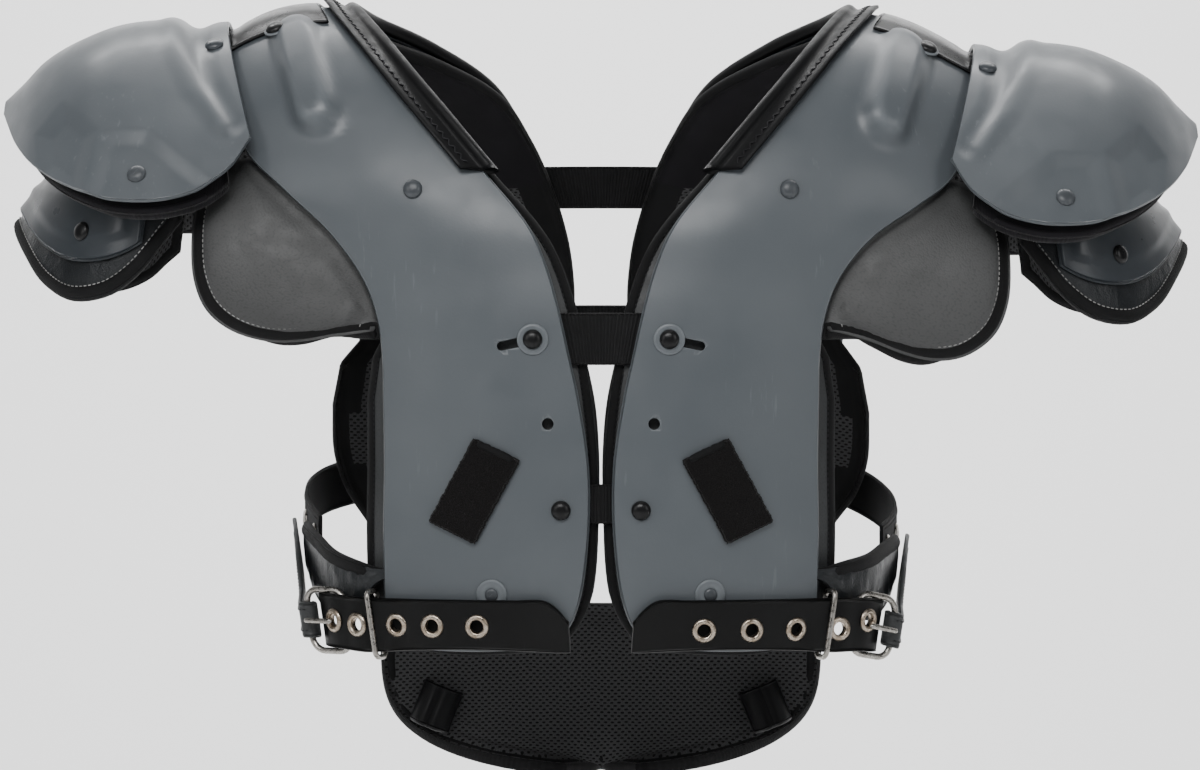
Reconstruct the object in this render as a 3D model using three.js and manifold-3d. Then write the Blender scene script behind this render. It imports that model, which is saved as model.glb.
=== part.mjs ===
// Football shoulder pad, in millimetres: +Z up, the front towards -Y, the wearer's left side at +X.
// The origin is between the shoulders, at the height of the arches' ridge, where the wearer carries the pad.
import * as THREE from 'three';
import { mergeVertices } from 'three/addons/utils/BufferGeometryUtils.js';
import Module from 'manifold-3d';

const wasm = await Module();
wasm.setup();

// Driving sizes of the hard arches
const neckHalf = 137;
const shoulderHalf = 197;
const chestHalf = 111;
const frontReach = 132;
const backReach = 139;
const frontDrop = 335;
const backDrop = 320;
const plateThickness = 2.8;
const plateCrown = 7;
const clearance = 0.3;

// How much lower the wearer's left shoulder parts hang, and where the drop starts and is complete
const leftSag = 12;
const sagStart = 118;
const sagEnd = 190;

// Sizes of the soft parts and straps
const padThickness = 13;
const padEdge = 5;
const padBelow = 4;
const frontPadInner = 8;
const frontPadOuter = 18;
const backPadInner = 9;
const backPadOuter = 24;
const padSeam = 3.6;
const webbingThickness = 1.5;
const webbingSeat = 0.8;
const rollRadius = 3.8;
const rollFlange = 12;
const rollFlangeThickness = 2;
const rollRise = 2.86;
const rollFrontRow = 10;
const rollBackRow = 8;
const flapThickness = 13;
const flapEdge = 7.5;
const flapCrown = 6;
const flapBeyond = 16;
const flapReach = shoulderHalf + flapBeyond;
const strapThickness = 1.8;
const strapHalfWidth = 45;
const strapStart = 0.22;
const strapLap = 0.2;
const strapUnderCap = 2.8;

// Sizes of the shoulder caps and of the deltoid caps under them
const capReach = 119.4;
const capHalf = 116;
const capDrop = 105;
const capLean = 18.6;
const capGap = 2.6;
const capThickness = 2.5;
const capPadThickness = 7;
const capPadBelow = 5;
const capPadInset = 0.037;
const capTurn = 1.3;
const deltoidDrop = 155;
const deltoidThickness = 2.5;
const deltoidPadThickness = 8;
const deltoidBackStart = 0.8;
const deltoidBackLow = 0.93;
const deltoidStrapHalf = 18;
const deltoidStrapTurn = 0.1;

// Sizes of the belts, buckles and side wings
const beltWidth = 27;
const beltThickness = 3;
const beltRise = 11.5;
const beltHeight = frontDrop - beltRise;
const beltTip = 17;
const ringStrapThickness = 1.8;
const ringStrapSeat = 1.5;
const beltSeat = 0.9;
const wireRadius = 1.4;
const buckleWire = 1.7;
const buckleStrapThickness = 2.4;
const wingThickness = 6;
const backBeltWidth = 24;
const backBeltThickness = 2.2;

// Sizes of the lower back panel and its loops
const panelHalf = 122;
const panelBottom = 415;
const panelThickness = 12;
const loopWidth = 19;
const loopHeight = 20;
const loopDepth = 14.5;
const loopThickness = 2.5;
const loopSkew = 4;
const loopSeat = 0.1;

// Sizes of the fasteners
const rivetHead = 5;
const rivetHeight = 3.4;
const washerRadius = 8;
const washerThickness = 1.1;
const holeRadius = 3;
const slotHalf = 2.4;
const patchThickness = 2.4;

// Sections of the arch from the ridge down the front. Inner x is a share of neckHalf. Flare goes from the
// chest's half width, 0, to the shoulder's, 1. The y columns are shares of the reach, and z of the drop.
const ridgeSection = { innerX: 1, flare: 1, innerY: 0, outerY: 0, innerZ: 0, outerZ: 0.043 };
const sectionColumns = ['innerX', 'flare', 'innerY', 'outerY', 'innerZ', 'outerZ', 'padInner', 'padOuter'];
const frontSections = [
  [0.971, 1.000, 0.227, 0.197, 0.015, 0.057, 0.9, 0],
  [0.876, 0.977, 0.455, 0.356, 0.060, 0.104, 0.9, 0],
  [0.745, 0.930, 0.644, 0.500, 0.125, 0.167, 0.9, 0],
  [0.584, 0.837, 0.788, 0.606, 0.203, 0.239, 0.9, 0],
  [0.438, 0.605, 0.871, 0.720, 0.275, 0.299, 0.9, 0],
  [0.270, 0.314, 0.939, 0.788, 0.361, 0.370, 1.0, 0],
  [0.204, 0.116, 0.962, 0.818, 0.424, 0.442, 1.2, 0],
  [0.161, 0.035, 0.985, 0.833, 0.487, 0.501, 1.3, 0],
  [0.124, 0.006, 0.992, 0.839, 0.555, 0.558, 1.2, 0.8],
  [0.089, 0.000, 1.000, 0.841, 0.621, 0.621, 1.0, 1],
  [0.052, -0.006, 1.000, 0.841, 0.722, 0.722, 0.75, 1],
  [0.051, 0.000, 0.992, 0.830, 0.821, 0.821, 0.7, 1],
  [0.080, -0.006, 0.966, 0.811, 0.919, 0.919, 0.9, 1],
  [0.124, -0.017, 0.939, 0.795, 0.970, 0.973, 0.9, 1],
  [0.197, -0.081, 0.917, 0.784, 1.000, 1.000, 0.9, 1],
];
const backSections = [
  [0.920, 1.000, 0.216, 0.187, 0.016, 0.059, 1.3, 0],
  [0.708, 0.977, 0.432, 0.345, 0.053, 0.109, 1.3, 0],
  [0.482, 0.930, 0.619, 0.489, 0.113, 0.175, 1.3, 0],
  [0.365, 0.837, 0.763, 0.619, 0.188, 0.250, 1.2, 0],
  [0.270, 0.663, 0.856, 0.719, 0.275, 0.325, 1.1, 0],
  [0.204, 0.465, 0.921, 0.791, 0.369, 0.400, 1.1, 0],
  [0.175, 0.349, 0.957, 0.827, 0.444, 0.469, 1, 0],
  [0.168, 0.291, 0.978, 0.849, 0.509, 0.531, 1, 0],
  [0.124, 0.273, 0.993, 0.856, 0.584, 0.591, 1, 0.8],
  [0.088, 0.267, 1.000, 0.860, 0.662, 0.662, 1, 1],
  [0.073, 0.256, 1.000, 0.856, 0.750, 0.750, 1, 1],
  [0.073, 0.174, 0.986, 0.842, 0.825, 0.825, 1, 1],
  [0.088, 0.000, 0.957, 0.813, 0.906, 0.906, 1, 1],
  [0.131, -0.081, 0.928, 0.791, 0.966, 0.966, 1, 1],
  [0.219, -0.151, 0.906, 0.777, 1.000, 1.000, 1, 1],
];

// Rim of the flap from the shoulder to the chest. Out goes from the plate's edge at the flap's foot, 0, to
// flapReach, 1; y and z are shares of frontReach and frontDrop.
const flapRim = [
  { out: 0.869, y: 0.520, z: 0.251 },
  { out: 0.980, y: 0.600, z: 0.316 },
  { out: 1.000, y: 0.680, z: 0.379 },
  { out: 0.980, y: 0.727, z: 0.439 },
  { out: 0.909, y: 0.742, z: 0.487 },
  { out: 0.778, y: 0.750, z: 0.519 },
  { out: 0.586, y: 0.765, z: 0.537 },
  { out: 0.394, y: 0.788, z: 0.537 },
  { out: 0.202, y: 0.811, z: 0.525 },
  { out: 0.030, y: 0.833, z: 0.513 },
];

// Sections of the cap from its inner edge to its tip. Out is a share of capReach, lean of capLean,
// ridge and rim of capDrop, half of capHalf, and power shapes the arch from the ridge to the rim.
const capSections = [
  { out: 0.000, lean: 1.00, ridge: 0.060, rim: 0.695, half: 0.793, power: 1.95 },
  { out: 0.037, lean: 0.75, ridge: 0.064, rim: 0.838, half: 0.897, power: 1.95 },
  { out: 0.121, lean: 0.32, ridge: 0.081, rim: 0.952, half: 0.974, power: 1.95 },
  { out: 0.271, lean: 0.00, ridge: 0.052, rim: 1.000, half: 1.000, power: 2.10 },
  { out: 0.472, lean: 0.00, ridge: 0.079, rim: 0.986, half: 0.940, power: 2.20 },
  { out: 0.665, lean: 0.00, ridge: 0.162, rim: 0.914, half: 0.776, power: 2.20 },
  { out: 0.807, lean: 0.00, ridge: 0.257, rim: 0.819, half: 0.586, power: 2.10 },
  { out: 0.908, lean: 0.00, ridge: 0.371, rim: 0.705, half: 0.379, power: 2.00 },
  { out: 0.966, lean: 0.00, ridge: 0.433, rim: 0.600, half: 0.200, power: 1.90 },
  { out: 1.000, lean: 0.00, ridge: 0.467, rim: 0.530, half: 0.080, power: 1.80 },
];

// Half of the deltoid cap from its front end to the outside of the arm. Out is a share of capReach, side of
// capHalf and z of deltoidDrop.
const deltoidSections = [
  { topOut: 0.190, topSide: 0.735, lowOut: 0.172, lowSide: 0.740, top: 0.590, low: 0.745 },
  { topOut: 0.300, topSide: 0.725, lowOut: 0.352, lowSide: 0.750, top: 0.600, low: 0.910 },
  { topOut: 0.422, topSide: 0.685, lowOut: 0.502, lowSide: 0.720, top: 0.600, low: 0.985 },
  { topOut: 0.572, topSide: 0.550, lowOut: 0.682, lowSide: 0.630, top: 0.590, low: 1.000 },
  { topOut: 0.692, topSide: 0.390, lowOut: 0.822, lowSide: 0.480, top: 0.575, low: 0.945 },
  { topOut: 0.782, topSide: 0.210, lowOut: 0.937, lowSide: 0.270, top: 0.565, low: 0.835 },
  { topOut: 0.822, topSide: 0.000, lowOut: 1.012, lowSide: 0.000, top: 0.560, low: 0.735 },
];

// Free run of the belt beyond the arch, as shares of chestHalf, frontReach and frontDrop
const beltFreeRun = [
  { x: 1.090, y: 0.830, z: 0.966 },
  { x: 1.170, y: 0.777, z: 0.964 },
  { x: 1.225, y: 0.739, z: 0.962 },
  { x: 1.262, y: 0.697, z: 0.961 },
  { x: 1.284, y: 0.652, z: 0.960 },
];
const beltLean = 4;

// Side wing from the arch's edge round the ribs, as shares of chestHalf, frontReach and frontDrop
const wingSections = [
  { x: 1.036, y: 0.805, top: 0.880, low: 0.898 },
  { x: 1.120, y: 0.758, top: 0.872, low: 0.930 },
  { x: 1.240, y: 0.620, top: 0.858, low: 0.955 },
  { x: 1.330, y: 0.400, top: 0.838, low: 0.940 },
  { x: 1.400, y: 0.150, top: 0.824, low: 0.905 },
  { x: 1.425, y: -0.080, top: 0.820, low: 0.872 },
];

// Buckle strap from the side wing's end to the buckle's bar, in the same shares
const buckleStrapRun = [
  { x: 1.470, y: -0.060, z: 0.848 },
  { x: 1.450, y: 0.090, z: 0.866 },
  { x: 1.425, y: 0.280, z: 0.903 },
  { x: 1.400, y: 0.460, z: 0.942 },
];
const buckleBar = { x: 1.356, y: 0.636, z: 0.962 };
const buckleLength = 24;
const buckleHeight = 32;
const buckleTurn = 0.574;
const buckleWrapTurns = [-60, -20, 20, 60, 100, 135];
const buckleWrapTail = 9;
const buckleStrapHalf = 11;
const buckleWrapHalf = 8.2;
const ringPlace = { x: 1.036, y: 0.8265, z: 0.965 };
const ringHeight = 34;
const ringDepth = 11.5;

// Black strap from the back arch to the side wing, in shares of chestHalf, backReach and backDrop
const backBeltRun = [
  { x: 1.036, y: 0.921, z: 0.781 },
  { x: 1.225, y: 0.876, z: 0.794 },
  { x: 1.369, y: 0.813, z: 0.809 },
  { x: 1.441, y: 0.691, z: 0.825 },
  { x: 1.459, y: 0.475, z: 0.847 },
  { x: 1.419, y: 0.259, z: 0.869 },
  { x: 1.358, y: 0.058, z: 0.887 },
];

// Places on the front plate, x as a share of chestHalf and z of frontDrop
const upperRivetSpot = { x: 0.865, z: 0.302 };
const slotSpot = { x: 0.312, z: 0.531 };
const slotEndSpot = { x: 0.455, z: 0.541 };
const holeSpot = { x: 0.243, z: 0.659 };
const lowerRivetSpot = { x: 0.183, z: 0.790 };
const patchCorners = [
  { x: 0.577, z: 0.683 },
  { x: 0.376, z: 0.715 },
  { x: 0.577, z: 0.838 },
  { x: 0.778, z: 0.806 },
];
const frontWebbing = { top: 0.490, low: 0.566 };
const frontElastic = { top: 0.752, low: 0.808 };
const backWebbing = { top: 0.241, low: 0.312 };
const backElastic = { top: 0.488, low: 0.560 };
const webbingTuck = 0.015;

const slate = { color: 0x5c6266, roughness: 0.42, metalness: 0.0 };
const blackFoam = { color: 0x1b1b1d, roughness: 0.9, metalness: 0.0 };
const greyVinyl = { color: 0x47494a, roughness: 0.65, metalness: 0.0 };
const blackPlastic = { color: 0x151516, roughness: 0.4, metalness: 0.0 };
const blackWeb = { color: 0x121214, roughness: 0.85, metalness: 0.0 };
const nickel = { color: 0xb9b8b2, roughness: 0.3, metalness: 1.0 };

const vec = (x, y, z) => new THREE.Vector3(x, y, z);
const mix = THREE.MathUtils.lerp;
const smooth = THREE.MathUtils.smoothstep;

// The drop of the wearer's left shoulder parts at a distance from the middle
function sagAt(x, side) {
  return side > 0 ? leftSag * smooth(Math.abs(x), sagStart, sagEnd) : 0;
}

// Every shape is worked out at +X, and put on its own side here
function place(point, side) {
  return vec(side * point.x, point.y, point.z - sagAt(point.x, side));
}

// A closed body between two grids of points with the same rows and columns
function bodyBetween(outer, inner, closedRows = false) {
  const rows = outer.length;
  const cols = outer[0].length;
  const positions = [...outer.flat(), ...inner.flat()].flatMap((point) => point.toArray());
  const at = (layer, row, col) => (layer * rows + (row % rows)) * cols + col;
  const index = [];
  const quad = (a, b, c, d) => index.push(a, b, c, a, c, d);
  const lastRow = closedRows ? rows : rows - 1;
  for (let row = 0; row < lastRow; row += 1) {
    for (let col = 0; col + 1 < cols; col += 1) {
      quad(at(0, row, col), at(0, row + 1, col), at(0, row + 1, col + 1), at(0, row, col + 1));
      quad(at(1, row, col), at(1, row, col + 1), at(1, row + 1, col + 1), at(1, row + 1, col));
    }
    quad(at(0, row, 0), at(1, row, 0), at(1, row + 1, 0), at(0, row + 1, 0));
    quad(at(0, row, cols - 1), at(0, row + 1, cols - 1), at(1, row + 1, cols - 1), at(1, row, cols - 1));
  }
  if (!closedRows) {
    for (let col = 0; col + 1 < cols; col += 1) {
      quad(at(0, 0, col), at(0, 0, col + 1), at(1, 0, col + 1), at(1, 0, col));
      quad(at(0, rows - 1, col), at(1, rows - 1, col), at(1, rows - 1, col + 1), at(0, rows - 1, col + 1));
    }
  }
  return facingOut(positions, index);
}

// A closed tube or profile swept through a list of rings, with flat ends unless it closes on itself
function bodyThrough(rings, closed) {
  const sides = rings[0].length;
  const positions = rings.flat().flatMap((point) => point.toArray());
  const index = [];
  const at = (ring, side) => (ring % rings.length) * sides + (side % sides);
  const last = closed ? rings.length : rings.length - 1;
  for (let ring = 0; ring < last; ring += 1) {
    for (let side = 0; side < sides; side += 1) {
      index.push(at(ring, side), at(ring + 1, side), at(ring + 1, side + 1));
      index.push(at(ring, side), at(ring + 1, side + 1), at(ring, side + 1));
    }
  }
  if (!closed) {
    const flat = rings[0].map((point, side) => side);
    const profile = THREE.ShapeUtils.triangulateShape(flatProfile(rings[0]), []);
    for (const [a, b, c] of profile) {
      index.push(flat[a], flat[b], flat[c]);
      const end = (rings.length - 1) * sides;
      index.push(end + flat[a], end + flat[c], end + flat[b]);
    }
  }
  return facingOut(positions, index);
}

// A ring of points laid flat in its own plane
function flatProfile(ring) {
  const origin = ring[0];
  const across = ring[1].clone().sub(origin).normalize();
  const far = ring[Math.floor(ring.length / 2)].clone().sub(origin);
  const up = far.sub(across.clone().multiplyScalar(far.dot(across))).normalize();
  return ring.map((point) => {
    const offset = point.clone().sub(origin);
    return new THREE.Vector2(offset.dot(across), offset.dot(up));
  });
}

// A geometry whose faces point out, whichever way round its triangles were listed
function facingOut(positions, index) {
  let volume = 0;
  const corner = (i) => vec(positions[3 * i], positions[3 * i + 1], positions[3 * i + 2]);
  for (let i = 0; i < index.length; i += 3) {
    volume += corner(index[i]).dot(corner(index[i + 1]).cross(corner(index[i + 2])));
  }
  if (volume < 0) {
    index.reverse();
  }
  const geometry = new THREE.BufferGeometry();
  geometry.setAttribute('position', new THREE.Float32BufferAttribute(positions, 3));
  geometry.setIndex(index);
  return geometry;
}

// A surface's outward normal at a spot, with z or the way forward telling which side is out
function normalOf(surface, u, v) {
  const step = 1e-3;
  const du = surface(u + step, v).sub(surface(u - step, v));
  const dv = surface(u, v + step).sub(surface(u, v - step));
  return du.cross(dv).normalize();
}

// The arch: one curve down its neck edge and one down its outer edge, from the front's foot to the back's
function archRow(cells, reach, drop, way) {
  const row = Object.fromEntries(sectionColumns.map((name, i) => [name, cells[i]]));
  return {
    inner: vec(neckHalf * row.innerX, way * reach * row.innerY, -drop * row.innerZ),
    outer: vec(mix(chestHalf, shoulderHalf, row.flare), way * reach * row.outerY, -drop * row.outerZ),
    padInner: row.padInner * (way < 0 ? frontPadInner : backPadInner),
    padOuter: row.padOuter * (way < 0 ? frontPadOuter : backPadOuter),
  };
}
const ridgeRow = {
  inner: vec(neckHalf * ridgeSection.innerX, 0, -frontDrop * ridgeSection.innerZ),
  outer: vec(mix(chestHalf, shoulderHalf, ridgeSection.flare), 0, -frontDrop * ridgeSection.outerZ),
  padInner: 0.9 * frontPadInner,
  padOuter: 0,
};
const archRows = [
  ...frontSections.map((cells) => archRow(cells, frontReach, frontDrop, -1)).reverse(),
  ridgeRow,
  ...backSections.map((cells) => archRow(cells, backReach, backDrop, 1)),
];
const innerEdge = new THREE.CatmullRomCurve3(archRows.map((row) => row.inner), false, 'centripetal');
const outerEdge = new THREE.CatmullRomCurve3(archRows.map((row) => row.outer), false, 'centripetal');

// A point of the arch: along from -1 at the front's foot over 0 at the ridge to 1 at the back's foot,
// across from 0 at the neck edge to 1 at the outer edge
function archPoint(along, across) {
  const t = THREE.MathUtils.clamp((along + 1) / 2, 0, 1);
  const inner = innerEdge.getPoint(t);
  const outer = outerEdge.getPoint(t);
  const step = 2e-3;
  const ahead = outerEdge.getPoint(Math.min(t + step, 1)).add(innerEdge.getPoint(Math.min(t + step, 1)));
  const behind = outerEdge.getPoint(Math.max(t - step, 0)).add(innerEdge.getPoint(Math.max(t - step, 0)));
  const rowWay = outer.clone().sub(inner);
  const out = ahead.sub(behind).cross(rowWay).normalize().negate();
  return inner.addScaledVector(rowWay, across).addScaledVector(out, plateCrown * 4 * across * (1 - across));
}
const archNormal = (along, across) => {
  const step = 2e-3;
  const middle = THREE.MathUtils.clamp(along, step - 1, 1 - step);
  const du = archPoint(middle + step, across).sub(archPoint(middle - step, across));
  const dv = archPoint(along, across + step).sub(archPoint(along, across - step));
  return dv.cross(du).normalize();
};
const onArch = (along, across, off) => (
  archPoint(along, across).addScaledVector(archNormal(along, across), off)
);

// A value of the arch's rows, such as a margin, between the rows
function archValue(name, along) {
  const place01 = THREE.MathUtils.clamp((along + 1) / 2, 0, 1) * (archRows.length - 1);
  const row = Math.min(Math.floor(place01), archRows.length - 2);
  return mix(archRows[row][name], archRows[row + 1][name], place01 - row);
}

// Where on the arch a point with a given x and height lies, on the front half or the back half
function spotAt(x, z, way = -1) {
  let along = 0.6 * way;
  let across = 0.5;
  const step = 1e-3;
  for (let turn = 0; turn < 12; turn += 1) {
    const here = archPoint(along, across);
    const da = archPoint(along + step, across).sub(here).divideScalar(step);
    const dc = archPoint(along, across + step).sub(here).divideScalar(step);
    const det = da.x * dc.z - da.z * dc.x;
    const ex = x - here.x;
    const ez = z - here.z;
    along = THREE.MathUtils.clamp(along + (ex * dc.z - ez * dc.x) / det, -0.998, 0.998);
    across = THREE.MathUtils.clamp(across + (da.x * ez - da.z * ex) / det, -0.2, 1.3);
  }
  return { along, across };
}
const plateSpot = (spot) => spotAt(spot.x * chestHalf, -spot.z * frontDrop);

const plateRows = 2 * frontSections.length;
const plateCols = 6;

function archPlate(side) {
  const rows = plateRows;
  const cols = plateCols;
  const grid = (off) => Array.from({ length: rows + 1 }, (_, row) => (
    Array.from({ length: cols + 1 }, (__, col) => place(onArch(2 * row / rows - 1, col / cols, off), side))));
  return carve(bodyBetween(grid(0), grid(-plateThickness)), plateCutters(side));
}

const padOffset = plateThickness + webbingThickness + 2 * webbingSeat;

function archPad(side) {
  const rows = 30;
  const cols = 6;
  const grid = (deep) => Array.from({ length: rows + 1 }, (_, row) => {
    const along = 2 * row / rows - 1;
    const width = archPoint(along, 0).distanceTo(archPoint(along, 1));
    const from = -archValue('padInner', along) / width;
    const to = 1 + (archValue('padOuter', along) - padSeam) / width;
    return Array.from({ length: cols + 1 }, (__, col) => {
      const share = col / cols;
      const onRim = row === 0 || row === rows || col === 0 || col === cols;
      const thick = onRim ? padEdge : padThickness;
      const point = onArch(along, mix(from, to, share), -padOffset - (deep ? thick : 0));
      point.z -= padBelow * smooth(Math.abs(along), 0.93, 1);
      return place(point, side);
    });
  });
  return bodyBetween(grid(false), grid(true));
}

// Holes and the rivet's slot through the front plate
function cutterAt(side, spot, radius) {
  const { along, across } = plateSpot(spot);
  const cutter = new THREE.CylinderGeometry(radius, radius, 6 * plateThickness, 12);
  return standOn(cutter, side, along, across, 0);
}

function plateCutters(side) {
  const cutters = [cutterAt(side, holeSpot, holeRadius)];
  const steps = 3;
  for (let i = 1; i <= steps; i += 1) {
    const x = mix(slotSpot.x, slotEndSpot.x, i / steps);
    const z = mix(slotSpot.z, slotEndSpot.z, i / steps);
    cutters.push(cutterAt(side, { x, z }, slotHalf));
  }
  return cutters;
}

// Turns a geometry's own Y axis along the arch's outward normal and seats it there
function standOn(geometry, side, along, across, off) {
  const seat = place(onArch(along, across, off), side);
  const normal = archNormal(along, across);
  normal.x *= side;
  return standAt(geometry, seat, normal);
}

function standAt(geometry, seat, normal) {
  const turn = new THREE.Quaternion().setFromUnitVectors(vec(0, 1, 0), normal);
  geometry.applyQuaternion(turn);
  geometry.translate(seat.x, seat.y, seat.z);
  return geometry;
}

function toSolid(geometry) {
  const bare = geometry.clone();
  bare.deleteAttribute('normal');
  bare.deleteAttribute('uv');
  const merged = mergeVertices(bare, 1e-4);
  return new wasm.Manifold(new wasm.Mesh({
    numProp: 3,
    vertProperties: new Float32Array(merged.attributes.position.array),
    triVerts: new Uint32Array(merged.index.array),
  }));
}

function carve(geometry, cutters) {
  const solid = cutters.map(toSolid).reduce((left, cutter) => left.subtract(cutter), toSolid(geometry));
  const mesh = solid.getMesh();
  const result = new THREE.BufferGeometry();
  result.setAttribute('position', new THREE.Float32BufferAttribute(mesh.vertProperties, 3));
  result.setIndex(Array.from(mesh.triVerts));
  return result;
}

// Piped roll on the neck edge: a round bead past the edge and a flat flange on the plate's crown
function neckRoll(side) {
  const rows = 9;
  const front = -rollFrontRow / plateRows;
  const back = rollBackRow / plateRows;
  const centre = rollRadius - plateThickness;
  const beadOut = -(rollRadius + clearance);
  const rings = Array.from({ length: rows + 1 }, (_, row) => {
    const along = mix(front, back, row / rows);
    const normal = archNormal(along, 0);
    const edge = archPoint(along, 0);
    const across = archPoint(along, 0.02).sub(edge).normalize();
    const spot = (out, up) => (
      place(edge.clone().addScaledVector(across, out).addScaledVector(normal, up), side)
    );
    const round = [50, 100, 150, 200, 250, 300].map((angle) => {
      const a = THREE.MathUtils.degToRad(angle);
      return spot(beadOut + rollRadius * Math.cos(a), centre + rollRadius * Math.sin(a));
    });
    return [
      ...round,
      spot(-clearance, clearance),
      spot(rollFlange, rollRise),
      spot(rollFlange, rollRise + rollFlangeThickness),
      spot(0, clearance + rollFlangeThickness),
    ];
  });
  return bodyThrough(rings, false);
}

// The cap's surface: out from 0 at its inner edge to 1 at its tip, round from -1 at the front rim to 1
function capValue(name, out) {
  const last = capSections.length - 1;
  const row = Math.max(0, Math.min(capSections.findIndex((section) => section.out > out) - 1, last - 1));
  const from = out >= 1 ? capSections[last - 1] : capSections[row];
  const to = out >= 1 ? capSections[last] : capSections[row + 1];
  return mix(from[name], to[name], (out - from.out) / (to.out - from.out));
}

const capEdge = shoulderHalf + capGap;
const capLanes = 6;

function capPoint(out, round, below = 0) {
  const half = capHalf * capValue('half', out);
  const ridge = capDrop * capValue('ridge', out);
  const rim = capDrop * capValue('rim', out) + below;
  const share = Math.sin(capTurn * round) / Math.sin(capTurn);
  const arch = Math.abs(share) ** capValue('power', out);
  const x = capEdge + capReach * out - capLean * capValue('lean', out) * share * share;
  return vec(x, half * share, -ridge - (rim - ridge) * arch);
}

// The cap's normal, taken over a span that evens out the sections' corners
function onCap(out, round, off, below = 0) {
  const step = 0.02;
  const outLow = Math.max(out - step, 0.001);
  const outHigh = Math.min(out + step, 0.999);
  const du = capPoint(outHigh, round, below).sub(capPoint(outLow, round, below));
  const dv = capPoint(out, round + step, below).sub(capPoint(out, round - step, below));
  const normal = du.cross(dv).normalize();
  return capPoint(out, round, below).addScaledVector(normal, off);
}

function capLayer(side, first, outerOff, innerOff, below) {
  const outs = capSections.map((section) => section.out).filter((out) => out > first);
  const rounds = Array.from({ length: 2 * capLanes + 1 }, (_, i) => i / capLanes - 1);
  const grid = (off) => [first, ...outs].map((out) => (
    rounds.map((round) => place(onCap(Math.min(out, 0.99), round, off, below), side))));
  return bodyBetween(grid(outerOff), grid(innerOff));
}

const capPadTop = capThickness + strapUnderCap + strapThickness + clearance;
const capShell = (side) => capLayer(side, 0, 0, -capThickness, 0);
const capPad = (side) => (
  capLayer(side, capPadInset, -capPadTop, -capPadTop - capPadThickness, capPadBelow)
);

// Flexible strap over the ridge: it lies on the plate and runs on under the cap
function shoulderStrap(side) {
  const onPlate = strapThickness + clearance;
  const underCap = -capThickness - strapUnderCap;
  const halfAlong = Math.abs(spotAlongY(strapHalfWidth));
  const row = 2 / plateRows;
  const alongs = [-halfAlong, -row, 0, row, halfAlong];
  const rounds = [-2, -1, 0, 1, 2].map((lane) => lane / capLanes);
  const rowOnPlate = (across, off) => alongs.map((along) => place(onArch(along, across, off), side));
  const rowOnCap = (out, off) => rounds.map((round) => place(onCap(out, round, off), side));
  const acrosses = [strapStart, 2, 3, 4, 5].map((col, i) => (i ? col / plateCols : col));
  const grid = (drop) => [
    ...acrosses.map((across) => rowOnPlate(across, onPlate - drop)),
    rowOnPlate(0.93, onPlate - drop),
    rowOnCap(capSections[1].out, underCap - drop),
    rowOnCap(capSections[2].out, underCap - drop),
    rowOnCap(strapLap, underCap - drop),
  ];
  return bodyBetween(grid(0), grid(strapThickness));
}

// How far along the arch, from the ridge, its middle line is a given distance to the front
function spotAlongY(distance) {
  let along = 0;
  while (along > -1 && -archPoint(along, 0.5).y < distance) {
    along -= 0.005;
  }
  return along;
}

// Padded flap beside the plate, on the front or, with way 1, on the back
function flap(side, way) {
  const edgeOff = -plateThickness - clearance;
  const first = way < 0 ? 4 : 5;
  const last = 8;
  const foot = archPoint(way * last * 2 / plateRows, 1).x;
  const rim = new THREE.CatmullRomCurve3(flapRim.map((row) => (
    vec(mix(foot, flapReach, row.out), way * frontReach * row.y, -frontDrop * row.z))));
  const seamAt = (row) => {
    const along = way * row * 2 / plateRows;
    const outward = archPoint(along, 1).sub(archPoint(along, 0.98)).normalize();
    return onArch(along, 1, edgeOff).addScaledVector(outward, 2 * clearance);
  };
  const surface = (u, v) => {
    const row = mix(first, last, u);
    const low = Math.floor(row);
    const seam = seamAt(low).lerp(seamAt(low + 1), row - low);
    const point = seam.lerp(rim.getPoint(THREE.MathUtils.clamp(u, 0, 1)), v);
    point.y += way * flapCrown * (27 / 4) * v * v * (1 - v);
    return point;
  };
  const rows = 12;
  const cols = 5;
  const grid = (deep) => Array.from({ length: rows + 1 }, (_, row) => (
    Array.from({ length: cols + 1 }, (__, col) => {
      const u = 0.002 + 0.996 * (row / rows);
      const v = 0.002 + 0.996 * (col / cols);
      const normal = normalOf(surface, u, v);
      if (normal.y * way < 0) {
        normal.negate();
      }
      const edge = row === 0 || row === rows || col === 0 || col === cols;
      const thick = edge ? flapEdge : flapThickness;
      return place(surface(u, v).addScaledVector(normal, deep ? -thick : 0), side);
    })));
  return bodyBetween(grid(false), grid(true));
}

// The deltoid cap from its front end round the arm to its back end, which is shorter and shallower. Its z
// runs from its top to its lower rim.
function deltoidPoint(round, down) {
  const last = deltoidSections.length - 1;
  const way = round < 0 ? -1 : 1;
  const turn = Math.min(Math.abs(round), 1);
  const place01 = last - turn * (way < 0 ? last : last - deltoidBackStart);
  const depth = way < 0 ? 1 : mix(1, deltoidBackLow, turn);
  const row = Math.min(Math.floor(place01), last - 1);
  const value = (name) => mix(deltoidSections[row][name], deltoidSections[row + 1][name], place01 - row);
  const x = shoulderHalf + capReach * mix(value('topOut'), value('lowOut'), down);
  const y = way * capHalf * mix(value('topSide'), value('lowSide'), down);
  return vec(x, y, -deltoidDrop * mix(value('top'), value('low') * depth, down));
}

function deltoidLayer(side, rows, cols, outerOff, innerOff) {
  const grid = (off) => Array.from({ length: 2 * rows + 1 }, (_, row) => (
    Array.from({ length: cols + 1 }, (__, col) => (
      place(onDeltoid((row - rows) / deltoidRows, col / deltoidCols, off), side)))));
  return bodyBetween(grid(outerOff), grid(innerOff));
}

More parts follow.
